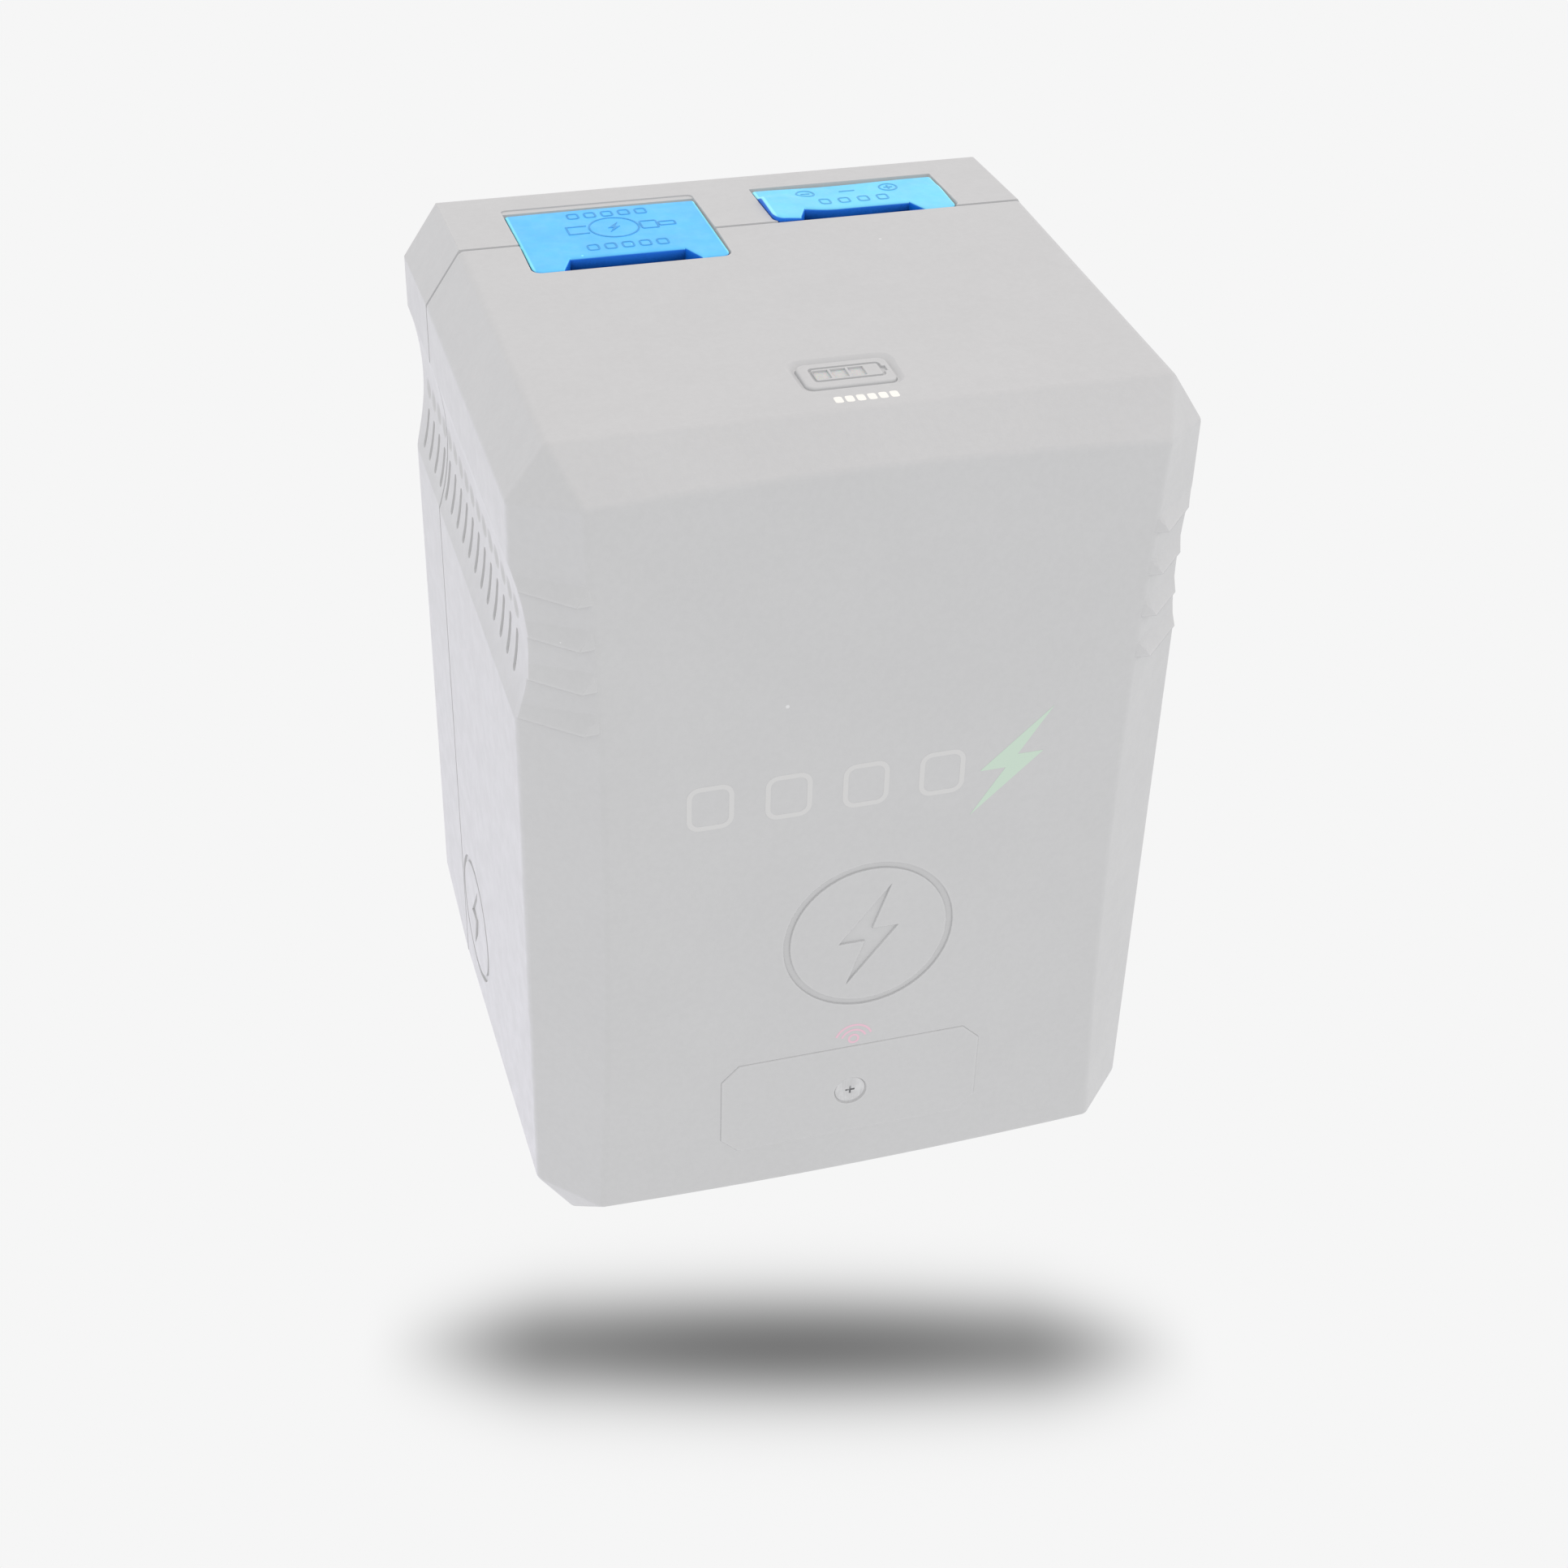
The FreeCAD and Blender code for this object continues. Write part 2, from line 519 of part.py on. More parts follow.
def emblem_tools():
    front = emblem_tool(EMBLEM_R)
    for tool in front:
        tool.translate(V(EMBLEM_X, FRONT_Y, EMBLEM_Z))
    left = emblem_tool(SIDE_EMBLEM_R)
    for tool in left:
        tool.rotate(V(0, 0, 0), Z_AXIS, -90)
        tool.translate(V(-HALF_W, SIDE_EMBLEM_Y, SIDE_EMBLEM_Z))
    return front + left


# ---- Openings in the top ----
def flap_opening(flap):
    """Rounded like the flap in front; the rear corners are tighter, so that an open flap clears them."""
    x0, x1 = flap["x0"] - FLAP_GAP, flap["x1"] + FLAP_GAP
    y0, y1 = flap["y0"] - FLAP_GAP, flap["y1"] + FLAP_REAR_GAP
    low, high = TRAY_TOP - 0.5, BODY_H + 2
    front = rounded_box(x0, x1, y0, y1 - 2 * FLAP_CORNER_R, low, high, FLAP_CORNER_R)
    rear = rounded_box(x0, x1, y0 + 2 * FLAP_CORNER_R, y1, low, high, OPENING_REAR_CORNER_R)
    return front.fuse(rear)


def flap_axis(flap):
    """A point on the flap's hinge axis, at its rear edge."""
    return V((flap["x0"] + flap["x1"]) / 2, flap["y1"] - FLAP_T / 2, top_z(flap["y1"]) - FLAP_AXIS_DROP)


def trunnion(flap, extra_r, extra_l):
    """Moulded hinge stubs at both ends of the flap's rear edge, in one rod."""
    axis = flap_axis(flap)
    start = V(flap["x0"] - TRUNNION_L - extra_l, axis.y, axis.z)
    return rod(TRUNNION_R + extra_r, start, X_AXIS, flap["x1"] - flap["x0"] + 2 * (TRUNNION_L + extra_l))


def flap_ledge(flap):
    """Shallow step in the top wall behind the larger flap."""
    x0, x1, y1 = flap["x0"] - FLAP_GAP, flap["x1"] + FLAP_GAP, flap["y1"] + FLAP_REAR_GAP
    floor = top_z(y1) - LEDGE_DEPTH
    return rounded_box(x0, x1, y1 - 2 * LEDGE_CORNER_R, y1 + LEDGE_W, floor, BODY_H + 2, LEDGE_CORNER_R)


def upright_outline(centre, size, z, radius):
    """Rounded rectangle at height z."""
    block = centred(centre, size, z, z + 1, radius)
    return min(block.Faces, key=lambda face: face.CenterOfMass.z).OuterWire


def button_hole():
    """Hole for the cap, in a moat whose walls slant outwards."""
    surface = top_z(BUTTON_CENTRE[1])
    hole = centred(BUTTON_CENTRE, BUTTON_CAP, surface - 6, surface + 2, BUTTON_CORNER_R, BUTTON_CLEAR)
    above = 0.6
    slant = above / BUTTON_MOAT_DEPTH
    top_size = [wide + (wide - narrow) * slant for wide, narrow in zip(BUTTON_MOAT, BUTTON_MOAT_FLOOR)]
    floor = upright_outline(BUTTON_CENTRE, BUTTON_MOAT_FLOOR, surface - BUTTON_MOAT_DEPTH, BUTTON_CORNER_R)
    opening = upright_outline(BUTTON_CENTRE, top_size, surface + above, BUTTON_CORNER_R + 1.0)
    return [hole, Part.makeLoft([floor, opening], True, True)]


# ---- Front shell ----
def cover_outline(grow, y):
    """Outline of the tag cover: a rectangle with cut corners."""
    half, z0, z1 = COVER_HALF_W + grow, COVER_Z0 - grow, COVER_Z1 + grow
    c = COVER_CHAMFER
    points = [(-half + c, z0), (half - c, z0), (half, z0 + c), (half, z1 - c),
              (half - c, z1), (-half + c, z1), (-half, z1 - c), (-half, z0 + c)]
    return [V(COVER_X + x, y, z) for x, z in points]


def cover_back_y():
    return FRONT_Y - COVER_PROUD + COVER_T


def screw_point(y):
    """Point on the axis of the cover's screw."""
    return V(COVER_X, y, COVER_SCREW_Z)


def cover_tools():
    """Recess for the cover, the shallow tag pocket and the hole for its threaded insert."""
    back, pocket = cover_back_y(), TAG_POCKET
    recess = prism(cover_outline(COVER_GAP, FRONT_Y - 1), V(0, back - FRONT_Y + 1, 0))
    tag = box(COVER_X - pocket["half_w"], COVER_X + pocket["half_w"], back - 0.5, back + pocket["depth"],
              pocket["z0"], pocket["z1"])
    insert = rod(TAG_INSERT_R, screw_point(back), Y_AXIS, 6)
    return [recess, tag, insert]


def web(x, z, half_t, y0, y1):
    """Rib from a screw boss to the nearest wall: down at the base, sideways at the top."""
    if z == SHELL_SCREW_BASE_Z:
        return box(x - half_t, x + half_t, y0, y1, 0, z)
    x0, x1 = sorted((x, math.copysign(WEB_REACH_X, x)))
    return box(x0, x1, y0, y1, z - half_t, z + half_t)


def bosses_with_webs(y0, y1, extra=0.0):
    """Screw bosses between two depths; grown by extra they serve as clearance."""
    shapes = []
    for x, z in SHELL_SCREWS:
        shapes.append(rod(BOSS_R + extra, V(x, y0, z), Y_AXIS, y1 - y0))
        shapes.append(web(x, z, WEB_HALF_T + extra, y0, y1))
    return shapes


def usb_clearance(y0, y1):
    """The seam's lip and gasket stop beside the USB flap."""
    return box(USB_FLAP["x0"] - 2, USB_FLAP["x1"] + 2, y0, y1, TRAY_TOP - 6, FAR)


def front_bosses():
    """Screw bosses at the seam, with webs to the walls, and the tag screw's boss."""
    tag_boss = rod(TAG_INSERT_R + 1.0, screw_point(FRONT_Y + 2), Y_AXIS, TAG_BOSS_END_Y - FRONT_Y - 2)
    return bosses_with_webs(BOSS_FRONT_Y, SEAM_Y) + [tag_boss]


def front_shell():
    outer = round_edges(front_envelope(), EDGE_R, off_seam)
    outer = fuse([outer] + rib_bars())
    outer = cut(outer, scoop_tools())
    planes = front_planes()
    cavity = block_between(planes, WALL, FRONT_Y, SEAM_Y + 1)
    rebate = block_between(planes, REBATE_INSET, SEAM_Y - REBATE_L, SEAM_Y + 1)
    shell = cut(outer, [cavity])
    bosses = fuse(front_bosses()).common(block_between(planes, WALL - 0.3, FRONT_Y, SEAM_Y))
    shell = shell.fuse(bosses)
    grooves = seam_groove(planes, SEAM_Y - SEAM_GROOVE_W / 2, SEAM_Y + 1)
    screw_holes = [rod(INSERT_R, V(x, SEAM_Y - INSERT_L, z), Y_AXIS, FAR) for x, z in SHELL_SCREWS]
    screw_holes += [rod(SCREW_HOLE_R, V(x, SHELL_SCREW_END_Y - 1, z), Y_AXIS, FAR) for x, z in SHELL_SCREWS]
    rim = rebate.cut(bosses.Solids + scoop_zone())
    tools = [rim, flap_opening(USB_FLAP)] + grooves + button_hole() + screw_holes
    shell = cut(shell, tools + cover_tools() + emblem_tools())
    return cut(shell, texture_tools())


# ---- Rear shell ----
def rear_columns():
    """Screw columns from the rear wall to the seam, with webs, and the wedge screws' bosses."""
    wedge_bosses = [rod(WEDGE_BOSS_R, V(x, WEDGE_BOSS_Y, z), Y_AXIS, REAR_Y - 1 - WEDGE_BOSS_Y)
                    for x, z in WEDGE_SCREWS]
    return bosses_with_webs(SEAM_Y, REAR_Y - 1) + wedge_bosses


def rear_shell():
    planes = rear_planes()
    outer = round_edges(block_between(planes, 0, SEAM_Y, FAR), REAR_EDGE_R, on_rear_face)
    outer = cut(outer, scoop_tools())
    shell = cut(outer, [block_between(planes, WALL, SEAM_Y - 1, FAR)])
    columns = fuse(rear_columns()).common(block_between(planes, WALL - 0.3, SEAM_Y, FAR))
    lip = ring(front_planes(), LIP_INSET, WALL, SEAM_Y - LIP_L, SEAM_Y)
    lip_start = SEAM_Y - LIP_L - 1
    lip_clear = bosses_with_webs(lip_start, SEAM_Y, 0.2) + [usb_clearance(lip_start, SEAM_Y)]
    shell = shell.fuse([columns, cut(lip, lip_clear + scoop_zone())])
    tools = seam_groove(planes, SEAM_Y, SEAM_Y + SEAM_GROOVE_W / 2)
    for x, z in SHELL_SCREWS:
        tools.append(rod(SCREW_HOLE_R, V(x, SEAM_Y - 1, z), Y_AXIS, FAR))
        tools.append(rod(HEAD_HOLE_R, V(x, REAR_Y - HEAD_SEAT_DEPTH, z), Y_AXIS, FAR))
    for x, z in WEDGE_SCREWS:
        tools.append(rod(WEDGE_SCREW_R, V(x, WEDGE_SCREW_END_Y - 0.2, z), Y_AXIS, FAR))
    tools.append(flap_ledge(USB_FLAP))
    for flap in (USB_FLAP, DTAP_FLAP):
        tools.append(flap_opening(flap))
        tools.append(trunnion(flap, TRUNNION_CLEAR, 0.1))
    tools.append(box(-CONTACT_W / 2, CONTACT_W / 2, REAR_Y - WALL - 1, REAR_Y + 1, CONTACT_Z0, CONTACT_Z1))
    return cut(shell, tools + texture_tools())


def shell_gasket():
    """Rubber cord at the bottom of the seam rebate."""
    cord = ring(front_planes(), REBATE_INSET + 0.05, WALL - 0.05, SEAM_Y - REBATE_L, SEAM_Y - LIP_L)
    gaps = bosses_with_webs(BOSS_FRONT_Y, REAR_Y, 0.1) + [usb_clearance(BOSS_FRONT_Y, REAR_Y)]
    return cut(cord, gaps + scoop_zone())


# ---- Flaps ----
def flap(outline, notch, pads):
    """Rubber flap with a rounded hinge edge, a finger notch, stubs and sealing pads below."""
    axis = flap_axis(outline)
    under, over = axis.z - FLAP_T / 2, axis.z + FLAP_T / 2
    plate = rounded_box(outline["x0"], outline["x1"], outline["y0"], axis.y + 2, under, over, FLAP_CORNER_R)
    plate = plate.cut(box(-FAR, FAR, axis.y, FAR, -FAR, FAR))
    knuckle = rod(FLAP_T / 2, V(outline["x0"], axis.y, axis.z), X_AXIS, outline["x1"] - outline["x0"])
    level_planes = [plane for plane in front_planes() if abs(plane[1].z) > 0.9]
    top_cut = block_between(level_planes, 0, outline["y0"] - 1, axis.y)
    body = fuse([plate.common(top_cut), knuckle, trunnion(outline, 0, 0)])
    y_in = outline["y0"] + notch["depth"]
    notch_points = [V(notch["x0"], outline["y0"] - 1, 0), V(notch["x1"], outline["y0"] - 1, 0),
                    V(notch["x1"] - NOTCH_SLOPE, y_in, 0), V(notch["x0"] + NOTCH_SLOPE, y_in, 0)]
    body = body.cut(prism(notch_points, V(0, 0, FAR)))
    pad_z0, pad_z1 = TRAY_TOP + PAD_CLEAR, under + PAD_ROOT
    return fuse([body] + [centred(centre, size, pad_z0, pad_z1, radius) for centre, size, radius in pads])


def usb_port_flap():
    pads = [(USB_A_CENTRE, (11.6, 4.2), 0.6), (USB_C_CENTRE, (8.0, 2.4), 1.1)]
    return flap(USB_FLAP, USB_NOTCH, pads)


def dtap_port_flap():
    return flap(DTAP_FLAP, DTAP_NOTCH, [(DTAP_CENTRE, (14.0, 4.4), 1.5)])


# ---- Port tray and sockets ----
def port_tray():
    """Black carrier under the top wall; it frames the sockets."""
    plate = box(-28.0, 28.0, 6.6, 29.0, TRAY_TOP - TRAY_T, TRAY_TOP)
    inner = block_between(rear_planes(), WALL + 0.05, -FAR, FAR)
    plate = plate.common(inner)
    holes = [centred(USB_A_CENTRE, USB_A_SIZE, 80, FAR, 0.5, FIT),
             centred(USB_C_CENTRE, USB_C_SIZE, 80, FAR, 1.55, FIT),
             centred(DTAP_CENTRE, DTAP_SIZE, 80, FAR, 2.0, FIT)]
    return cut(plate, holes)


def usb_a_socket():
    """Upright pressed metal shell of the wide socket."""
    shell = centred(USB_A_CENTRE, USB_A_SIZE, BOARD_TOP, TRAY_TOP - 0.1, 0.5)
    hollow = centred(USB_A_CENTRE, USB_A_SIZE, BOARD_TOP + 2.0, FAR, 0.3, -0.35)
    return shell.cut(hollow)


def usb_a_tongue():
    cx, cy = USB_A_CENTRE
    return box(cx - 5.6, cx + 5.6, cy + 0.4, cy + 2.2, BOARD_TOP + 2.0, TRAY_TOP - 1.2)


def usb_c_socket():
    """Upright metal shell of the small oval socket."""
    shell = centred(USB_C_CENTRE, USB_C_SIZE, BOARD_TOP, TRAY_TOP - 0.1, 1.55)
    hollow = centred(USB_C_CENTRE, USB_C_SIZE, BOARD_TOP + 2.0, FAR, 1.25, -0.3)
    return shell.cut(hollow)


def usb_c_tongue():
    cx, cy = USB_C_CENTRE
    return box(cx - 3.3, cx + 3.3, cy - 0.35, cy + 0.35, BOARD_TOP + 2.0, TRAY_TOP - 1.4)


def dtap_pin_places():
    return [V(DTAP_CENTRE[0] + side * DTAP_PIN_GAP / 2, DTAP_CENTRE[1], 0) for side in (-1, 1)]


def dtap_socket():
    """Two-pole power socket block with two round bores."""
    block = centred(DTAP_CENTRE, DTAP_SIZE, TRAY_TOP - 12.0, TRAY_TOP - 0.1, 2.0)
    legs = [centred((DTAP_CENTRE[0] + side * 6.6, DTAP_CENTRE[1]), (2.0, 4.0), BOARD_TOP, TRAY_TOP - 11.9)
            for side in (-1, 1)]
    bores = [rod(1.75, V(p.x, p.y, TRAY_TOP - 10.5), Z_AXIS, FAR) for p in dtap_pin_places()]
    rim = centred(DTAP_CENTRE, DTAP_SIZE, TRAY_TOP - 0.9, FAR, 1.4, -0.7)
    return cut(fuse([block] + legs), bores + [rim])


def dtap_contacts():
    """Brass sleeves in the bores of the power socket."""
    return group(rod(1.75, V(p.x, p.y, TRAY_TOP - 10.5), Z_AXIS, 8.0).cut(
        rod(1.3, V(p.x, p.y, TRAY_TOP - 9.5), Z_AXIS, FAR)) for p in dtap_pin_places())


# ---- Status button ----
def icon_centre():
    return (BUTTON_CENTRE[0] + ICON_OFFSET[0], BUTTON_CENTRE[1] + ICON_OFFSET[1])


def window_places():
    cx, cy = icon_centre()
    return [(cx + x, cy) for x in WINDOW_XS]


def button_flange_top():
    return top_z(BUTTON_CENTRE[1] - BUTTON_CAP[1] / 2 - 0.8) - WALL - 0.15


def sloped_top(shape, y0, y1, lower=0.0):
    """Trims a shape to the sloping top plane, lowered by the given amount."""
    plane = plane_through(LEFT["top"], RIGHT["top"], RIGHT["seam_top"], MIDDLE)
    return shape.common(block_between([plane], lower, y0, y1))


def status_button():
    """Cap with a retaining flange and a stem, and a battery symbol sunk into its face."""
    flange_top = button_flange_top()
    low = flange_top - BUTTON_FLANGE_T
    cap = button_band(centred(BUTTON_CENTRE, BUTTON_CAP, low, BODY_H, BUTTON_CORNER_R))
    cap = round_edges(cap, BUTTON_EDGE_R, lambda edge: min(v.Point.z for v in edge.Vertexes) > flange_top + 1)
    flange = centred(BUTTON_CENTRE, BUTTON_CAP, low, flange_top, BUTTON_CORNER_R + 0.6, 0.7)
    stem = rod(BUTTON_STEM_R, V(*BUTTON_CENTRE, SWITCH_TOP), Z_AXIS, flange_top - SWITCH_TOP)
    windows = [centred(place, WINDOW_SIZE, flange_top + WINDOW_FLOOR, FAR) for place in window_places()]
    return cut(fuse([cap, flange, stem]), icon_tools() + windows)


def icon_tools():
    """Battery symbol: a rounded frame with a small pole on its right."""
    cx, cy = icon_centre()
    floor = top_z(cy) - ICON_DEPTH
    inside = centred((cx, cy), ICON_SIZE, floor - 1, FAR, ICON_CORNER_R / 2, -ICON_LINE)
    frame = centred((cx, cy), ICON_SIZE, floor, FAR, ICON_CORNER_R).cut(inside)
    right = cx + ICON_SIZE[0] / 2
    nub = box(right, right + ICON_NUB[0], cy - ICON_NUB[1] / 2, cy + ICON_NUB[1] / 2, floor, FAR)
    return [frame, nub]


def button_band(shape, lower=0.0):
    """Trims a shape of the button to the sloping top."""
    return sloped_top(shape, BUTTON_CENTRE[1] - BUTTON_BAND, BUTTON_CENTRE[1] + BUTTON_BAND, lower)


def gauge_windows():
    """Clear inserts that show the charge in the cap."""
    low = button_flange_top() + WINDOW_FLOOR
    bars = [centred(place, WINDOW_SIZE, low, BODY_H) for place in window_places()]
    return group(button_band(bar, WINDOW_SUNK) for bar in bars)


def tact_switch():
    body = centred(BUTTON_CENTRE, SWITCH_SIZE, BOARD_TOP, BOARD_TOP + SWITCH_BODY_T, 0.5)
    well = rod(PLUNGER_R + PLUNGER_CLEAR, V(*BUTTON_CENTRE, BOARD_TOP + SWITCH_FLOOR_T), Z_AXIS, FAR)
    return body.cut(well)


def switch_plunger():
    low = BOARD_TOP + SWITCH_FLOOR_T + BUTTON_TRAVEL + 0.2
    return rod(PLUNGER_R, V(*BUTTON_CENTRE, low), Z_AXIS, SWITCH_TOP - low)


# ---- Tag cover ----
def tag_cover_plate():
    front = FRONT_Y - COVER_PROUD
    plate = prism(cover_outline(0, front), V(0, COVER_T, 0))
    plate = round_edges(plate, COVER_EDGE_R, lambda e: all(abs(v.Point.y - front) < 0.01 for v in e.Vertexes))
    head_hole_r = TAG_HEAD_R + 0.15
    seat = TAG_HEAD_SUNK - 0.02
    holes = [rod(head_hole_r, screw_point(front - 1), Y_AXIS, 1 + seat),
             Part.makeCone(head_hole_r, 0.3, head_hole_r - 0.3, screw_point(front + seat), Y_AXIS),
             rod(TAG_SCREW_R + 0.1, screw_point(front - 1), Y_AXIS, COVER_T + 2)]
    return cut(plate, holes)


def tag_cover_screw():
    """Countersunk screw with a cross recess; its head sits a little below the cover's face."""
    face = FRONT_Y - COVER_PROUD + TAG_HEAD_SUNK
    head = Part.makeCone(TAG_HEAD_R, TAG_SCREW_R, TAG_HEAD_R - TAG_SCREW_R, screw_point(face), Y_AXIS)
    shaft = rod(TAG_SCREW_R, screw_point(face), Y_AXIS, TAG_BOSS_END_Y - 0.1 - face)
    floor = face + TAG_CROSS_DEPTH
    cross = [box(COVER_X - a, COVER_X + a, face - 1, floor, COVER_SCREW_Z - b, COVER_SCREW_Z + b)
             for a, b in (TAG_CROSS, reversed(TAG_CROSS))]
    return cut(fuse([head, shaft]), cross)


def tag_insert():
    back = cover_back_y() + TAG_POCKET["depth"]
    sleeve = rod(TAG_INSERT_R, screw_point(back), Y_AXIS, TAG_BOSS_END_Y - back)
    return sleeve.cut(rod(TAG_SCREW_R, screw_point(back - 1), Y_AXIS, 6))


def wireless_tag():
    back, half_w = cover_back_y(), TAG_POCKET["half_w"] - TAG_CLEAR
    board = box(COVER_X - half_w, COVER_X + half_w, back + 0.05, back + TAG_POCKET["depth"] - 0.05,
                TAG_POCKET["z0"] + TAG_CLEAR, TAG_POCKET["z1"] - TAG_CLEAR)
    return board.cut(rod(TAG_SCREW_R + 0.3, screw_point(back - 1), Y_AXIS, 4))


# ---- Wedge and camera contacts ----
def wedge_outline(grow, y):
    """V-shaped outline, wide at the top and narrow at the bottom, with cut corners."""
    top, low, c = WEDGE_TOP_W / 2 + grow, WEDGE_BASE_W / 2 + grow, WEDGE_CORNER
    z0, z1 = WEDGE_Z0 - grow, WEDGE_Z1 + grow
    right = [(low - c, z0), (low, z0 + c), (top, z1 - c), (top - c, z1)]
    points = right + [(-x, z) for x, z in reversed(right)]
    return [V(x, y, z) for x, z in points]


def v_mount_wedge():
    """Dovetail wedge: its flanks undercut towards the shell."""
    flare = Part.makeLoft([closed_wire(wedge_outline(-WEDGE_FLARE, REAR_Y)),
                           closed_wire(wedge_outline(0, REAR_Y + WEDGE_FLARE))], True, True)
    slab = prism(wedge_outline(0, REAR_Y + WEDGE_FLARE), V(0, WEDGE_T - WEDGE_FLARE, 0))
    outer_edges = [e for e in slab.Edges
                   if all(abs(v.Point.y - REAR_Y - WEDGE_T) < 0.01 for v in e.Vertexes)]
    body = fuse([flare, slab.makeFillet(WEDGE_EDGE_R, outer_edges)])
    window = box(-CONTACT_W / 2, CONTACT_W / 2, REAR_Y - 1, FAR, CONTACT_Z0, CONTACT_Z1)
    slot = LATCH_SLOT
    latch = box(WEDGE_TOP_W / 2 - slot["depth_x"], FAR, REAR_Y + slot["y0"], REAR_Y + slot["y1"],
                slot["z0"], slot["z1"])
    holes = [window, latch]
    for x, z in WEDGE_SCREWS:
        holes.append(rod(SCREW_HOLE_R, V(x, REAR_Y - 1, z), Y_AXIS, FAR))
        holes.append(rod(WEDGE_HEAD_R, V(x, REAR_Y + WEDGE_T - WEDGE_SEAT_DEPTH, z), Y_AXIS, FAR))
    for x in POCKET_XS:        # weight-saving pockets below the contacts
        holes.append(box(x - POCKET_HALF_W, x + POCKET_HALF_W, REAR_Y + WEDGE_T - POCKET_DEPTH, FAR,
                         POCKET_Z0, POCKET_Z1))
    return cut(body, holes)


def pan_screw(x, z, seat_y, end_y, radius):
    """Screw with its head on +Y and a cross recess."""
    head = rod(SCREW_HEAD_R, V(x, seat_y, z), Y_AXIS, SCREW_HEAD_T)
    top = seat_y + SCREW_HEAD_T
    head = round_edges(head, SCREW_HEAD_EDGE_R,
                       lambda e: len(e.Vertexes) == 1 and abs(e.Vertexes[0].Point.y - top) < 0.01)
    shaft = rod(radius, V(x, end_y, z), Y_AXIS, seat_y - end_y)
    cross = [box(x - a, x + a, top - CROSS_DEPTH, top + 1, z - b, z + b)
             for a, b in ((CROSS_REACH, CROSS_HALF_W), (CROSS_HALF_W, CROSS_REACH))]
    return cut(fuse([head, shaft]), cross)


def wedge_screws():
    seat = REAR_Y + WEDGE_T - WEDGE_SEAT_DEPTH
    return group(pan_screw(x, z, seat, WEDGE_SCREW_END_Y, WEDGE_SCREW_R) for x, z in WEDGE_SCREWS)


def shell_screws():
    seat = REAR_Y - HEAD_SEAT_DEPTH
    return group(pan_screw(x, z, seat, SHELL_SCREW_END_Y, SCREW_R) for x, z in SHELL_SCREWS)


def shell_inserts():
    return group(rod(INSERT_R, V(x, SEAM_Y - INSERT_L, z), Y_AXIS, INSERT_L - 0.1).cut(
        rod(SCREW_R, V(x, 0, z), Y_AXIS, FAR)) for x, z in SHELL_SCREWS)


def upright_slot(x, z, size, y1):
    """Box around (x, z), size wide and high, from the floor of the contact slots to y1."""
    return box(x - size[0] / 2, x + size[0] / 2, CONTACT_SLOT_Y0, y1, z - size[1] / 2, z + size[1] / 2)


def contact_block():
    """Insulating block with blade slots, sunk into the wedge's window."""
    face = REAR_Y + WEDGE_T - CONTACT_RECESS
    half_w = CONTACT_W / 2 - FIT
    body = box(-half_w, half_w, REAR_Y - WALL, face, CONTACT_Z0 + FIT, CONTACT_Z1 - FIT)
    stem = box(-CONTACT_STEM["half_w"], CONTACT_STEM["half_w"], CONTACT_STEM["y0"], REAR_Y - WALL,
               CONTACT_Z0 + CONTACT_STEM["margin"], CONTACT_Z1 - CONTACT_STEM["margin"])
    slots = [upright_slot(x, z, POWER_SLOT_SIZE, FAR) for x, z in POWER_SLOTS]
    data = [upright_slot(x, DATA_Z, DATA_SLOT_SIZE, FAR) for x in DATA_XS]
    return cut(fuse([body, stem]), slots + data)


def power_contacts():
    """Fork blades in the two wide slots: a root block with two arms."""
    width, height = POWER_FORK_SIZE
    y_root, y_end = CONTACT_SLOT_Y0 + FORK_ROOT_L, REAR_Y + POWER_REACH
    blades = []
    for x, z in POWER_SLOTS:
        root = upright_slot(x, z, POWER_FORK_SIZE, y_root)
        arms = [box(x + low, x + low + FORK_ARM_T, y_root - 0.1, y_end, z - height / 2, z + height / 2)
                for low in (-width / 2, width / 2 - FORK_ARM_T)]
        blades.append(fuse([root] + arms))
    return group(blades)


def data_contacts():
    return group(upright_slot(x, DATA_Z, DATA_BLADE_SIZE, REAR_Y + DATA_REACH) for x in DATA_XS)


# ---- Cells ----
def cell_places():
    return [(x, y) for x in CELL_XS for y in CELL_YS if not (x == 0 and y == CELL_YS[-1])]


def battery_cells():
    """Round cells, standing, each with a raised pole."""
    cells = []
    for x, y in cell_places():
        can = rod(CELL_R, V(x, y, CELL_Z), Z_AXIS, CELL_L - 0.5)
        can = round_edges(can, CELL_EDGE_R, lambda edge: edge.Length > 50)
        pole = rod(POLE_R, V(x, y, CELL_Z + CELL_L - POLE_H), Z_AXIS, POLE_H)
        cells.append(fuse([can, pole]))
    return group(cells)


def holder_plate(z0):
    """Frame with a round hole for every place of the three by three grid."""
    plate = rounded_box(-HOLDER_HALF_W, HOLDER_HALF_W, HOLDER_Y0, HOLDER_Y1, z0, z0 + HOLDER_H,
                        HOLDER_CORNER_R)
    plate = plate.common(block_between(front_planes(), WALL + 0.1, FRONT_Y, FAR))
    holes = [rod(HOLDER_HOLE_R, V(x, y, z0 - 1), Z_AXIS, HOLDER_H + 2) for x in CELL_XS for y in CELL_YS]
    lead_way = box(-LEAD_WAY_HALF_W, LEAD_WAY_HALF_W, CELL_YS[-1], FAR, z0 - 1, z0 + HOLDER_H + 1)
    return cut(plate, holes + [lead_way])


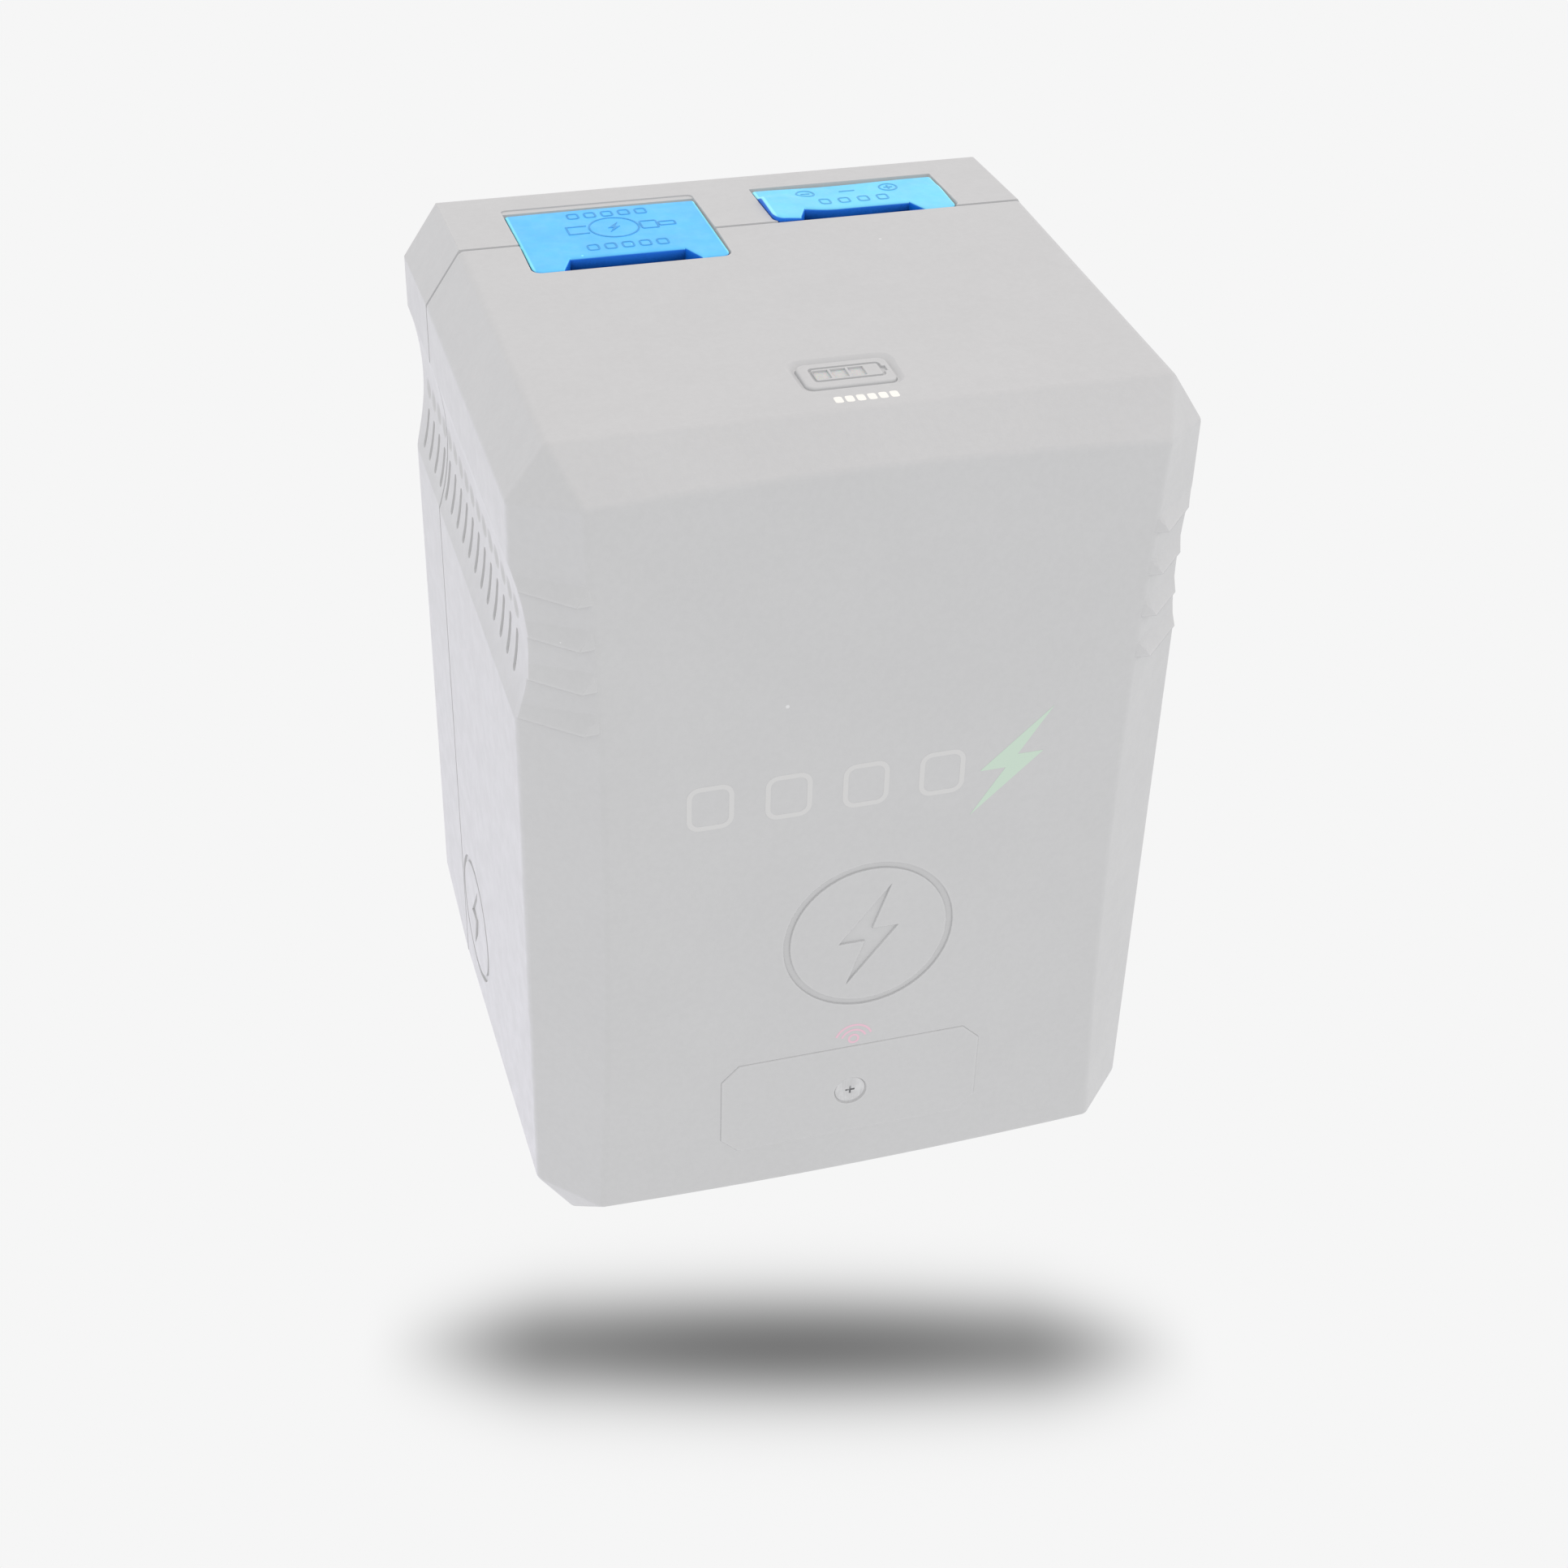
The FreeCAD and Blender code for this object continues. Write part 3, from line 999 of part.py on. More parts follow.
def lower_cell_holder():
    z0 = CELL_Z + HOLDER_STEP
    legs = [rod(LEG_R, V(x, y, WALL + FLOOR_CLEAR), Z_AXIS, z0 - WALL + 0.5) for x, y in POST_PLACES]
    tag_boss = rod(TAG_INSERT_R + 1.2, screw_point(FRONT_Y), Y_AXIS, TAG_BOSS_END_Y - FRONT_Y + 0.2)
    return cut(fuse([holder_plate(z0)] + legs), [tag_boss])


def upper_cell_holder():
    top = CELL_Z + CELL_L - HOLDER_STEP
    posts = [rod(POST_R, V(x, y, top - HOLDER_H), Z_AXIS, BOARD_Z - top + HOLDER_H) for x, y in POST_PLACES]
    pilots = [rod(PILOT_R, V(x, y, BOARD_Z - 5), Z_AXIS, 6) for x, y in POST_PLACES]
    return cut(fuse([holder_plate(top - HOLDER_H)] + posts), pilots)


def link(x0, x1, y0, y1, z):
    return box(x0 - LINK_HALF_W, x1 + LINK_HALF_W, y0 - LINK_HALF_W, y1 + LINK_HALF_W, z, z + LINK_T)


def nickel_links():
    """Welded strips that join the cells, four groups of two in series."""
    x_left, x_mid, x_right = CELL_XS
    y_front, y_mid, y_rear = CELL_YS
    top, low = CELL_Z + CELL_L, CELL_Z - LINK_T
    corner_strip = fuse([link(x_right, x_right, y_front, y_rear, top),
                         link(x_left, x_right, y_rear, y_rear, top)])
    strips = [link(x_left, x_mid, y_front, y_mid, top),
              corner_strip,
              link(x_left, x_left, y_front, y_mid, low),
              link(x_mid, x_right, y_front, y_mid, low),
              link(x_left, x_right, y_rear, y_rear, low)]
    return group(cut(strip, post_clearance()) for strip in strips)


def post_clearance():
    return [rod(POST_R + 0.2, V(x, y, 0), Z_AXIS, FAR) for x, y in POST_PLACES]


def foam_pads():
    """Foam blocks that carry the cells on the housing floor."""
    low, high = WALL + FLOOR_CLEAR, CELL_Z - LINK_T - INSULATOR_T - FLOOR_CLEAR
    return group(box(-half_w, half_w, y0, y1, low, high) for half_w, (y0, y1) in zip(PAD_HALF_WS, PAD_YS))


def insulator_sheets():
    """Fibre sheets over and under the nickel links."""
    window = SHEET_WINDOW
    leads = box(-window["half_w"], window["half_w"], window["y0"], window["y1"], CELL_Z + CELL_L, FAR)
    levels = (CELL_Z - LINK_T - INSULATOR_T, CELL_Z + CELL_L + LINK_T)
    return group(cut(box(-half_w, half_w, SHEET_Y0, SHEET_Y1, z, z + INSULATOR_T), [leads] + post_clearance())
                 for half_w, z in zip(SHEET_HALF_WS, levels))


# ---- Main board ----
def main_board():
    board = rounded_box(-BOARD_HALF_W, BOARD_HALF_W, BOARD_Y0, BOARD_Y1, BOARD_Z, BOARD_TOP,
                        BOARD_CORNER_R)
    holes = [rod(BOARD_HOLE_R, V(x, y, 0), Z_AXIS, FAR) for x, y in POST_PLACES]
    return cut(board, holes)


def board_screws():
    screws = []
    for x, y in POST_PLACES:
        head = rod(BOARD_HEAD_R, V(x, y, BOARD_TOP), Z_AXIS, BOARD_HEAD_T)
        shaft = rod(PILOT_R, V(x, y, BOARD_TOP - BOARD_SCREW_L), Z_AXIS, BOARD_SCREW_L)
        slot = centred((x, y), BOARD_SLOT_SIZE, BOARD_TOP + BOARD_HEAD_T / 2, FAR)
        screws.append(cut(fuse([head, shaft]), [slot]))
    return group(screws)


def board_chips():
    """Controller and driver chips."""
    return group(centred((x, y), (w, d), BOARD_TOP, BOARD_TOP + h, CHIP_CORNER_R) for x, y, w, d, h in CHIPS)


def power_transistors():
    places = [(TRANSISTOR_X0 + TRANSISTOR_PITCH * index, TRANSISTOR_Y) for index in range(TRANSISTOR_COUNT)]
    top = BOARD_TOP + TRANSISTOR_H
    return group(centred(place, TRANSISTOR_SIZE, BOARD_TOP, top, CHIP_CORNER_R) for place in places)


def power_inductor():
    return centred(INDUCTOR_CENTRE, INDUCTOR_SIZE, BOARD_TOP, BOARD_TOP + INDUCTOR_H, 2.0)


def capacitors():
    cans = [rod(CAPACITOR_R, V(x, CAPACITOR_Y, BOARD_TOP), Z_AXIS, CAPACITOR_H) for x in CAPACITOR_XS]
    return group(round_edges(can, 0.5, lambda edge: edge.Length > 15) for can in cans)


def gauge_leds():
    places = [(BUTTON_CENTRE[0] + x, BUTTON_CENTRE[1] + LED_Y_OFFSET) for x in LED_XS]
    return group(centred(place, LED_SIZE, BOARD_TOP, BOARD_TOP + LED_H) for place in places)


def balance_connector():
    body = centred(PLUG_CENTRE, PLUG_SIZE, BOARD_TOP, BOARD_TOP + PLUG_H, 0.4)
    return body.cut(centred(PLUG_CENTRE, PLUG_SIZE, BOARD_TOP + 1.2, FAR, 0.3, -PLUG_WALL))


# ---- Leads ----
def power_lead(x):
    """Silicone lead from the contact block up to the underside of the board."""
    points = [V(x, y, z) for y, z in LEAD_PATH] + [V(x, LEAD_PATH[-1][0], BOARD_Z)]
    curve = Part.BSplineCurve()
    curve.interpolate(points, InitialTangent=V(0, -1, 0), FinalTangent=Z_AXIS)
    path = Part.Wire([curve.toShape()])
    profile = Part.Wire([Part.Circle(points[0], Y_AXIS, LEAD_R).toShape()])
    return path.makePipeShell([profile], True, False)


def power_lead_positive():
    return power_lead(LEAD_X)


def power_lead_negative():
    return power_lead(-LEAD_X)


BUILDERS = (front_shell, rear_shell, shell_gasket, shell_screws, shell_inserts, usb_port_flap, dtap_port_flap,
            port_tray, usb_a_socket, usb_a_tongue, usb_c_socket, usb_c_tongue, dtap_socket, dtap_contacts,
            status_button, gauge_windows, tact_switch, switch_plunger, tag_cover_plate, tag_cover_screw,
            tag_insert, wireless_tag, v_mount_wedge, wedge_screws, contact_block, power_contacts,
            data_contacts, battery_cells, lower_cell_holder, upper_cell_holder, nickel_links, foam_pads,
            insulator_sheets, main_board, board_screws, board_chips, power_transistors, power_inductor,
            capacitors, gauge_leds, balance_connector, power_lead_positive, power_lead_negative)


os.makedirs("parts", exist_ok=True)
for builder in BUILDERS:
    export(builder(), builder.__name__)
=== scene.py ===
import json
import math

import bmesh
import bpy
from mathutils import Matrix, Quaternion, Vector


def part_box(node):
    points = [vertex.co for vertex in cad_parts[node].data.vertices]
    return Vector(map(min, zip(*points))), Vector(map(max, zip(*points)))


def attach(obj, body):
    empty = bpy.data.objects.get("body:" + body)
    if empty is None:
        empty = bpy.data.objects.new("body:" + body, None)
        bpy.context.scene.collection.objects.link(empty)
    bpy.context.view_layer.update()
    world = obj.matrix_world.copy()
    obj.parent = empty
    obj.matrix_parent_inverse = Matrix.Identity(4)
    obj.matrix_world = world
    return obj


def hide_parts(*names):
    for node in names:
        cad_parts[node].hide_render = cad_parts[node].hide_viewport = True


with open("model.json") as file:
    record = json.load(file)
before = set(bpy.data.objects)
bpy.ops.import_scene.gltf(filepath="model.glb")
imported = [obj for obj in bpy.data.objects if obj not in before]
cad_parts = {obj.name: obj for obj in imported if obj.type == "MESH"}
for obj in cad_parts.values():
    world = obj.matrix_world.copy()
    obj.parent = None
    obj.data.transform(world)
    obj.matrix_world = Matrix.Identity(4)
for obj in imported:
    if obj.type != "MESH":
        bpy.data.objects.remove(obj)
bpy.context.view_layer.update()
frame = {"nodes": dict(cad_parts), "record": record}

MM = 0.001

# ---- Where things are, in metres, read from the frame ----
FRONT_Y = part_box("front_shell")[0].y
TOP_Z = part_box("front_shell")[1].z
SEAM_Y = 16.5 * MM             # the two housing shells meet here
TOP_SLOPE = 0.035              # the top falls towards the front

# ---- Camera ----
CAMERA_TARGET = Vector((-4.6, -17.0, 48.2)) * MM
CAMERA_AZIMUTH = -17.65
CAMERA_ELEVATION = 35.0
CAMERA_ROLL = 1.68
CAMERA_DISTANCE = 262.0 * MM
CAMERA_LENS = 54.9

# ---- Surroundings ----
BACKGROUND = 0.9216            # linear brightness of floor and backdrop
FLOOR_Z = -55.0 * MM
FLOOR_SIZE = 6.0
SHADOW_CENTRE = Vector((1.6, -6.6, FLOOR_Z / MM)) * MM
SHADOW_TURN = CAMERA_AZIMUTH + 2.0
SHADOW_HALF_LENGTH = 61.0 * MM
SHADOW_HALF_WIDTH = 19.0 * MM
SHADOW_DEPTH = 0.494           # how much darker the middle is, on the display's scale
SHADOW_SPREAD = 0.36           # width of its bell curve, as a share of the half width
SHADOW_TAPER = 0.28            # share of the width that is lost towards its ends
SHADOW_FALL = 1.9              # power of the bell curve; 2 would be a normal curve
SHADOW_END_LEVEL = 0.62        # depth left at the ends, before they fade out
DISPLAY_GAMMA = 2.2
ROOM_LIGHT = 0.885             # linear brightness of the even light around the object


# ---- Node helpers ----
def node(tree, kind, inputs=None, **settings):
    """Adds a shader node; inputs are numbers, colours or other nodes' sockets."""
    made = tree.nodes.new("ShaderNode" + kind)
    for key, value in settings.items():
        setattr(made, key, value)
    for key, value in (inputs or {}).items():
        if isinstance(value, bpy.types.NodeSocket):
            tree.links.new(value, made.inputs[key])
        else:
            made.inputs[key].default_value = value
    return made


def math_node(tree, operation, *values):
    return node(tree, "Math", dict(enumerate(values)), operation=operation).outputs[0]


def ramp(tree, value, low, high, out_low=0.0, out_high=1.0):
    """Smooth step from out_low to out_high between two input values."""
    made = node(tree, "MapRange", {"Value": value, "From Min": low, "From Max": high,
                                   "To Min": out_low, "To Max": out_high},
                interpolation_type="SMOOTHSTEP")
    return made.outputs["Result"]


def mix_colour(tree, factor, first, second, blend="MIX"):
    made = node(tree, "Mix", {0: factor, 6: first, 7: second}, data_type="RGBA", blend_type=blend)
    return made.outputs[2]


def shaded(colour, factor):
    """A colour made lighter or darker."""
    return tuple(min(1.0, max(0.0, channel * factor)) for channel in colour[:3]) + (1.0,)


class Finish:
    """One procedural material, built up in layers around a Principled shader."""

    def __init__(self, name, colour, roughness, metallic=0.0, specular=0.5):
        self.material = bpy.data.materials.new(name)
        self.material.use_nodes = True
        self.tree = self.material.node_tree
        self.shader = self.tree.nodes["Principled BSDF"]
        self.place = node(self.tree, "TexCoord").outputs["Object"]
        self.colour = node(self.tree, "RGB").outputs[0]
        self.colour.default_value = tuple(colour[:3]) + (1.0,)
        self.roughness = roughness
        self.normal = None
        self.specular = specular
        self.shader.inputs["Metallic"].default_value = metallic
        self.shader.inputs["Specular IOR Level"].default_value = specular

    def noise(self, grain, detail=3.0, stretch=(1.0, 1.0, 1.0), distortion=0.0):
        """Noise whose grains are about grain metres wide, drawn out along an axis by stretch."""
        place = node(self.tree, "Mapping", {"Vector": self.place, "Scale": stretch}).outputs[0]
        made = node(self.tree, "TexNoise", {"Vector": place, "Scale": 1.0 / grain, "Detail": detail,
                                            "Roughness": 0.55, "Distortion": distortion})
        return made.outputs[0]

    def cells(self, width):
        """Irregular cells about width metres wide."""
        return node(self.tree, "TexVoronoi", {"Vector": self.place, "Scale": 1.0 / width})

    def mottle(self, grain, amount, **options):
        """Lighter and darker patches of the base colour."""
        patch = ramp(self.tree, self.noise(grain, **options), 0.3, 0.7)
        dark = mix_colour(self.tree, 1.0, self.colour, shaded((1, 1, 1), 1.0 - amount), "MULTIPLY")
        self.colour = mix_colour(self.tree, patch, dark, self.colour)
        return self

    def tint(self, factor, colour):
        self.colour = mix_colour(self.tree, factor, self.colour, tuple(colour[:3]) + (1.0,))
        return self

    def specks(self, width, share, colour, size=0.16):
        """Sparse small marks such as dust; share is the part of the cells that hold one."""
        cell = self.cells(width)
        chosen = math_node(self.tree, "GREATER_THAN", self.channel(cell.outputs["Color"]), 1.0 - share)
        near = math_node(self.tree, "LESS_THAN", cell.outputs["Distance"], size)
        return self.tint(math_node(self.tree, "MULTIPLY", chosen, near), colour)

    def channel(self, colour):
        return node(self.tree, "SeparateColor", {0: colour}).outputs[0]

    def edges(self, radius, colour, amount, samples=4):
        """Edges tinted with a colour, found where a rounded normal differs from the real one. On some parts
        this is wear; on the housing and the flaps it is a painted highlight.
        """
        rounded = node(self.tree, "Bevel", {"Radius": radius}, samples=samples).outputs[0]
        flat = node(self.tree, "NewGeometry").outputs["Normal"]
        agreement = node(self.tree, "VectorMath", {0: rounded, 1: flat}, operation="DOT_PRODUCT")
        mask = ramp(self.tree, agreement.outputs["Value"], 0.995, 0.80, 0.0, amount)
        return self.tint(mask, colour)

    def shade_side_walls(self, colour):
        """Painted shade: faces that point sideways are tinted a deeper, darker colour."""
        normal = node(self.tree, "TexCoord").outputs["Normal"]
        upright = math_node(self.tree, "ABSOLUTE", node(self.tree, "SeparateXYZ", {0: normal}).outputs["Z"])
        return self.tint(ramp(self.tree, upright, 0.60, 0.25), colour)

    def paint_hollow_shade(self, reach, dark, low, high):
        """Painted shade: tinted dark and without sheen where surfaces nearby shut this one in. The input
        values low and high are the shares of open sky at which the effect is full and gone."""
        open_sky = node(self.tree, "AmbientOcclusion", {"Distance": reach}, samples=6).outputs["AO"]
        sheen = ramp(self.tree, open_sky, low, high, 0.0, self.specular)
        self.tree.links.new(sheen, self.shader.inputs["Specular IOR Level"])
        return self.tint(ramp(self.tree, open_sky, high, low), dark)

    def glow(self, strength):
        """Painted light: the colour is also given out as emission, so the part glows though it is no lamp,
        which keeps narrow gaps from going dark.
        """
        self.tree.links.new(self.colour, self.shader.inputs["Emission Color"])
        self.shader.inputs["Emission Strength"].default_value = strength
        return self

    def bump(self, height_of, distance):
        inputs = {"Height": height_of, "Distance": distance, "Strength": 1.0}
        if self.normal is not None:
            inputs["Normal"] = self.normal
        self.normal = node(self.tree, "Bump", inputs).outputs[0]
        return self

    def soft_edges(self, radius, samples=4):
        """Rounds the shading of sharp edges, as moulding does. Call it before bump()."""
        self.normal = node(self.tree, "Bevel", {"Radius": radius}, samples=samples).outputs[0]
        return self

    def vary_roughness(self, grain, spread, **options):
        patch = ramp(self.tree, self.noise(grain, **options), 0.3, 0.7,
                     self.roughness - spread, self.roughness + spread)
        self.tree.links.new(patch, self.shader.inputs["Roughness"])
        self.roughness = None
        return self

    def done(self):
        self.tree.links.new(self.colour, self.shader.inputs["Base Color"])
        if self.roughness is not None:
            self.shader.inputs["Roughness"].default_value = self.roughness
        if self.normal is not None:
            self.tree.links.new(self.normal, self.shader.inputs["Normal"])
        return self.material


# ---- Materials, one per slot of the record ----
HOUSING_GREY = (0.377, 0.377, 0.381)
HOUSING_PAINTED_GLOW = 0.62            # share of the housing's brightness that is painted light, given out by the plastic itself as emission


def housing():
    """Spark-eroded grey plastic: fine grain over a coarser one, faint mottling and dust, with a painted
    highlight on the edges, painted shade in grooves and recesses, and a painted glow.
    """
    finish = Finish("housing", HOUSING_GREY, 0.58, specular=0.30)
    finish.mottle(14 * MM, 0.015, detail=2.0)
    finish.mottle(0.7 * MM, 0.02)
    # Painted highlight: the housing's edges are made paler.
    finish.edges(0.5 * MM, shaded(HOUSING_GREY, 1.14), 0.6)
    finish.specks(4.5 * MM, 0.12, shaded(HOUSING_GREY, 1.25), size=0.045)
    # Painted shade: the housing is tinted darker and loses its sheen in grooves and recesses.
    finish.paint_hollow_shade(1.6 * MM, shaded(HOUSING_GREY, 0.84), low=0.35, high=0.85)
    # Painted light: part of the housing's brightness is its own glow.
    finish.glow(HOUSING_PAINTED_GLOW)
    finish.soft_edges(0.22 * MM)
    finish.bump(finish.noise(0.9 * MM, detail=2.0), 0.012 * MM)
    finish.bump(finish.noise(0.28 * MM, detail=2.0), 0.010 * MM)
    return finish.vary_roughness(2.5 * MM, 0.06).done()


def rim_distance(finish, cad_node):
    """Distance from the ends and the hinge edge of a flap, seen from above."""
    low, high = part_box(cad_node)
    place = node(finish.tree, "SeparateXYZ", {0: finish.place}).outputs
    from_left = math_node(finish.tree, "SUBTRACT", place["X"], low.x + TRUNNION_L)
    from_right = math_node(finish.tree, "SUBTRACT", high.x - TRUNNION_L, place["X"])
    from_hinge = math_node(finish.tree, "SUBTRACT", high.y, place["Y"])
    from_end = math_node(finish.tree, "MINIMUM", from_left, from_right)
    return math_node(finish.tree, "MINIMUM", from_end, from_hinge)


def silicone(name, colour, rim_highlight, cad_node):
    """Dyed silicone: satin, with fine grain, smears and dust; a paler painted highlight along its border
    and edges, painted shade in deep blue on its upright sides, darker painted shade in the notch, and a
    painted glow.
    """
    finish = Finish(name, colour, 0.46, specular=0.4)
    finish.mottle(5 * MM, 0.07, detail=2.0)
    finish.mottle(0.9 * MM, 0.04)
    # Dust specks, in the same pale colour as the painted highlight.
    finish.specks(1.9 * MM, 0.16, rim_highlight, size=0.07)
    # Painted highlight: a paler band along the ends and the hinge edge.
    finish.tint(ramp(finish.tree, rim_distance(finish, cad_node), 0.42 * MM, 0.18 * MM, 0.0, 0.9), rim_highlight)
    # Painted highlight: the edges are made paler.
    finish.edges(0.30 * MM, rim_highlight, 0.9)
    # Painted shade: the flap's upright sides are tinted deep blue.
    finish.shade_side_walls(FLAP_WALL_SHADE)
    # Painted shade: near-black blue, without sheen, in the notch and other shut-in places.
    finish.paint_hollow_shade(5.0 * MM, FLAP_SHADE, low=0.24, high=0.46)
    # Painted light: the flap glows a little.
    finish.glow(0.12)
    finish.bump(finish.noise(2.4 * MM, detail=1.0), 0.05 * MM)
    finish.bump(finish.noise(0.22 * MM, detail=2.0), 0.012 * MM)
    return finish.vary_roughness(1.6 * MM, 0.10).done()


def raised_marks(name, colour):
    """Moulded marks on a flap: the same rubber, a little darker in colour as painted shade along the raised
    marks.
    """
    finish = Finish(name, colour, 0.5, specular=0.3)
    finish.mottle(0.9 * MM, 0.12)
    finish.bump(finish.noise(0.22 * MM, detail=2.0), 0.012 * MM)
    return finish.vary_roughness(1.6 * MM, 0.10).done()


def moulded(name, colour, roughness=0.55, grain=0.3 * MM, edge=0.25):
    """Plain moulded plastic with a fine grain and slightly rubbed edges."""
    finish = Finish(name, colour, roughness)
    finish.mottle(3 * MM, 0.10)
    finish.edges(0.2 * MM, shaded(colour, 1.9), edge)
    finish.bump(finish.noise(grain, detail=2.0), 0.012 * MM)
    return finish.vary_roughness(1.2 * MM, 0.08).done()


def soft_rubber(name, colour):
    """Matt rubber with a dusty bloom."""
    finish = Finish(name, colour, 0.75, specular=0.3)
    finish.mottle(2 * MM, 0.2)
    finish.tint(ramp(finish.tree, finish.noise(0.8 * MM), 0.55, 0.85, 0.0, 0.12), (0.4, 0.4, 0.42))
    finish.bump(finish.noise(0.15 * MM), 0.01 * MM)
    return finish.done()


def foam():
    """Closed-cell foam: open pores on the cut faces."""
    finish = Finish("foam", (0.055, 0.055, 0.06), 0.9, specular=0.2)
    pores = finish.cells(0.5 * MM).outputs["Distance"]
    # Painted shade: each pore is darker towards its middle.
    finish.tint(ramp(finish.tree, pores, 0.25, 0.6, 0.35, 0.0), (0.01, 0.01, 0.012))
    finish.bump(pores, 0.12 * MM)
    return finish.done()


def metal(name, colour, roughness, stretch, grain=0.25 * MM, tarnish=0.12):
    """Drawn or turned metal: streaks along one direction and a little tarnish."""
    finish = Finish(name, colour, roughness, metallic=1.0)
    finish.mottle(1.6 * MM, tarnish)
    streaks = finish.noise(grain, detail=2.0, stretch=stretch)
    finish.mottle(grain, 0.08, stretch=stretch)
    finish.bump(streaks, 0.006 * MM)
    return finish.vary_roughness(0.8 * MM, 0.08, stretch=stretch).done()


def oxide_steel():
    """Black oxide screws: brown-black, rubbed to bare metal on the edges."""
    finish = Finish("black_steel", (0.035, 0.033, 0.034), 0.42, metallic=0.8)
    finish.mottle(0.8 * MM, 0.25)
    finish.edges(0.15 * MM, (0.30, 0.29, 0.28), 0.6)
    finish.bump(finish.noise(0.12 * MM), 0.006 * MM)
    return finish.vary_roughness(0.5 * MM, 0.1).done()


def light_guide():
    """Frosted clear plastic over the gauge lights."""
    finish = Finish("clear_window", (0.66, 0.665, 0.665), 0.5)
    finish.mottle(0.5 * MM, 0.06)
    finish.bump(finish.noise(0.18 * MM), 0.01 * MM)
    finish.shader.inputs["Subsurface Weight"].default_value = 0.4
    finish.shader.inputs["Subsurface Scale"].default_value = 0.4 * MM
    return finish.done()


def circuit_board():
    """Green solder mask over copper tracks, with small pale gold specks."""
    finish = Finish("board", (0.015, 0.14, 0.065), 0.32)
    tracks = node(finish.tree, "TexBrick", {"Vector": finish.place, "Color1": (1, 1, 1, 1),
                                            "Color2": (0.6, 0.6, 0.6, 1), "Mortar": (0, 0, 0, 1),
                                            "Scale": 260.0, "Mortar Size": 0.018}).outputs["Color"]
    raised = finish.channel(tracks)
    finish.tint(ramp(finish.tree, raised, 0.7, 1.0, 0.0, 0.5), (0.03, 0.24, 0.10))
    finish.mottle(0.4 * MM, 0.12)
    finish.specks(2.6 * MM, 0.4, (0.75, 0.6, 0.25), size=0.12)
    finish.bump(raised, 0.03 * MM)
    return finish.vary_roughness(1.0 * MM, 0.07).done()


def ferrite():
    """Sintered ferrite: coarse dull grain with chips."""
    finish = Finish("ferrite", (0.045, 0.044, 0.048), 0.7)
    finish.mottle(0.35 * MM, 0.35)
    finish.specks(0.7 * MM, 0.2, (0.16, 0.16, 0.17), size=0.2)
    finish.bump(finish.noise(0.2 * MM, detail=5.0), 0.03 * MM)
    return finish.done()


def aluminium_can():
    """Sleeved can: satin aluminium with a fine drawn grain."""
    return metal("can", (0.62, 0.62, 0.64), 0.35, (1.0, 1.0, 0.1))


def led_lens():
    finish = Finish("led", (0.85, 0.84, 0.70), 0.2)
    finish.mottle(0.3 * MM, 0.1)
    finish.bump(finish.noise(0.3 * MM), 0.01 * MM)
    finish.shader.inputs["Transmission Weight"].default_value = 0.3
    return finish.done()


def shrink_sleeve():
    """Thin PVC sleeve on a cell: glossy, with fine pull lines along the cell."""
    finish = Finish("cell_wrap", (0.02, 0.14, 0.19), 0.28)
    finish.mottle(6 * MM, 0.15)
    pulls = finish.noise(0.7 * MM, detail=2.0, stretch=(1.0, 1.0, 0.08))
    finish.bump(pulls, 0.03 * MM)
    finish.specks(3.0 * MM, 0.1, (0.3, 0.4, 0.42), size=0.05)
    return finish.vary_roughness(3.0 * MM, 0.08).done()


def fibre_paper():
    """Insulating paper: long pale fibres pressed in a tan sheet."""
    finish = Finish("fibre", (0.60, 0.53, 0.34), 0.85, specular=0.2)
    fibres = finish.noise(0.35 * MM, detail=4.0, stretch=(1.0, 0.15, 1.0), distortion=1.2)
    finish.tint(ramp(finish.tree, fibres, 0.5, 0.75, 0.0, 0.5), (0.75, 0.70, 0.52))
    finish.bump(fibres, 0.02 * MM)
    return finish.done()


def glass_nylon():
    """Glass-filled nylon: dark, with short pale fibres showing at the surface."""
    finish = Finish("wedge_plastic", (0.055, 0.055, 0.058), 0.5)
    finish.mottle(5 * MM, 0.15)
    fibres = finish.noise(0.18 * MM, detail=3.0, stretch=(1.0, 1.0, 0.2), distortion=0.6)
    finish.tint(ramp(finish.tree, fibres, 0.60, 0.80, 0.0, 0.30), (0.16, 0.16, 0.165))
    finish.edges(0.4 * MM, (0.17, 0.17, 0.175), 0.4)
    finish.soft_edges(0.2 * MM)
    finish.bump(fibres, 0.015 * MM)
    return finish.vary_roughness(2.0 * MM, 0.08).done()


def printed_ink(name, colour, roughness=0.45):
    """Pad-printed ink: a little thin in places, so the plastic's grain shows through."""
    finish = Finish(name, colour, roughness)
    thin = finish.noise(0.35 * MM, detail=3.0)
    finish.tint(ramp(finish.tree, thin, 0.62, 0.85, 0.0, 0.35), HOUSING_GREY)
    # Painted light: the ink glows like the housing around it.
    finish.glow(HOUSING_PAINTED_GLOW)
    finish.bump(finish.noise(0.28 * MM, detail=2.0), 0.010 * MM)
    return finish.vary_roughness(0.8 * MM, 0.06).done()


FLAP_BLUE = (0.115, 0.560, 1.0)
# Painted highlight colour for the flap's border and edges.
FLAP_RIM_HIGHLIGHT = (0.26, 0.88, 1.0)
FLAP_PALE_BLUE = (0.190, 0.700, 1.0)
# Painted highlight colour for the paler flap's border and edges.
FLAP_PALE_RIM_HIGHLIGHT = (0.36, 0.93, 1.0)
# Painted shade colour for the flaps' upright sides.
FLAP_WALL_SHADE = (0.004, 0.170, 0.820)
FLAP_SHADE = (0.0, 0.004, 0.035)
TRUNNION_L = 1.0 * MM          # the flaps' hinge stubs stick out by this much

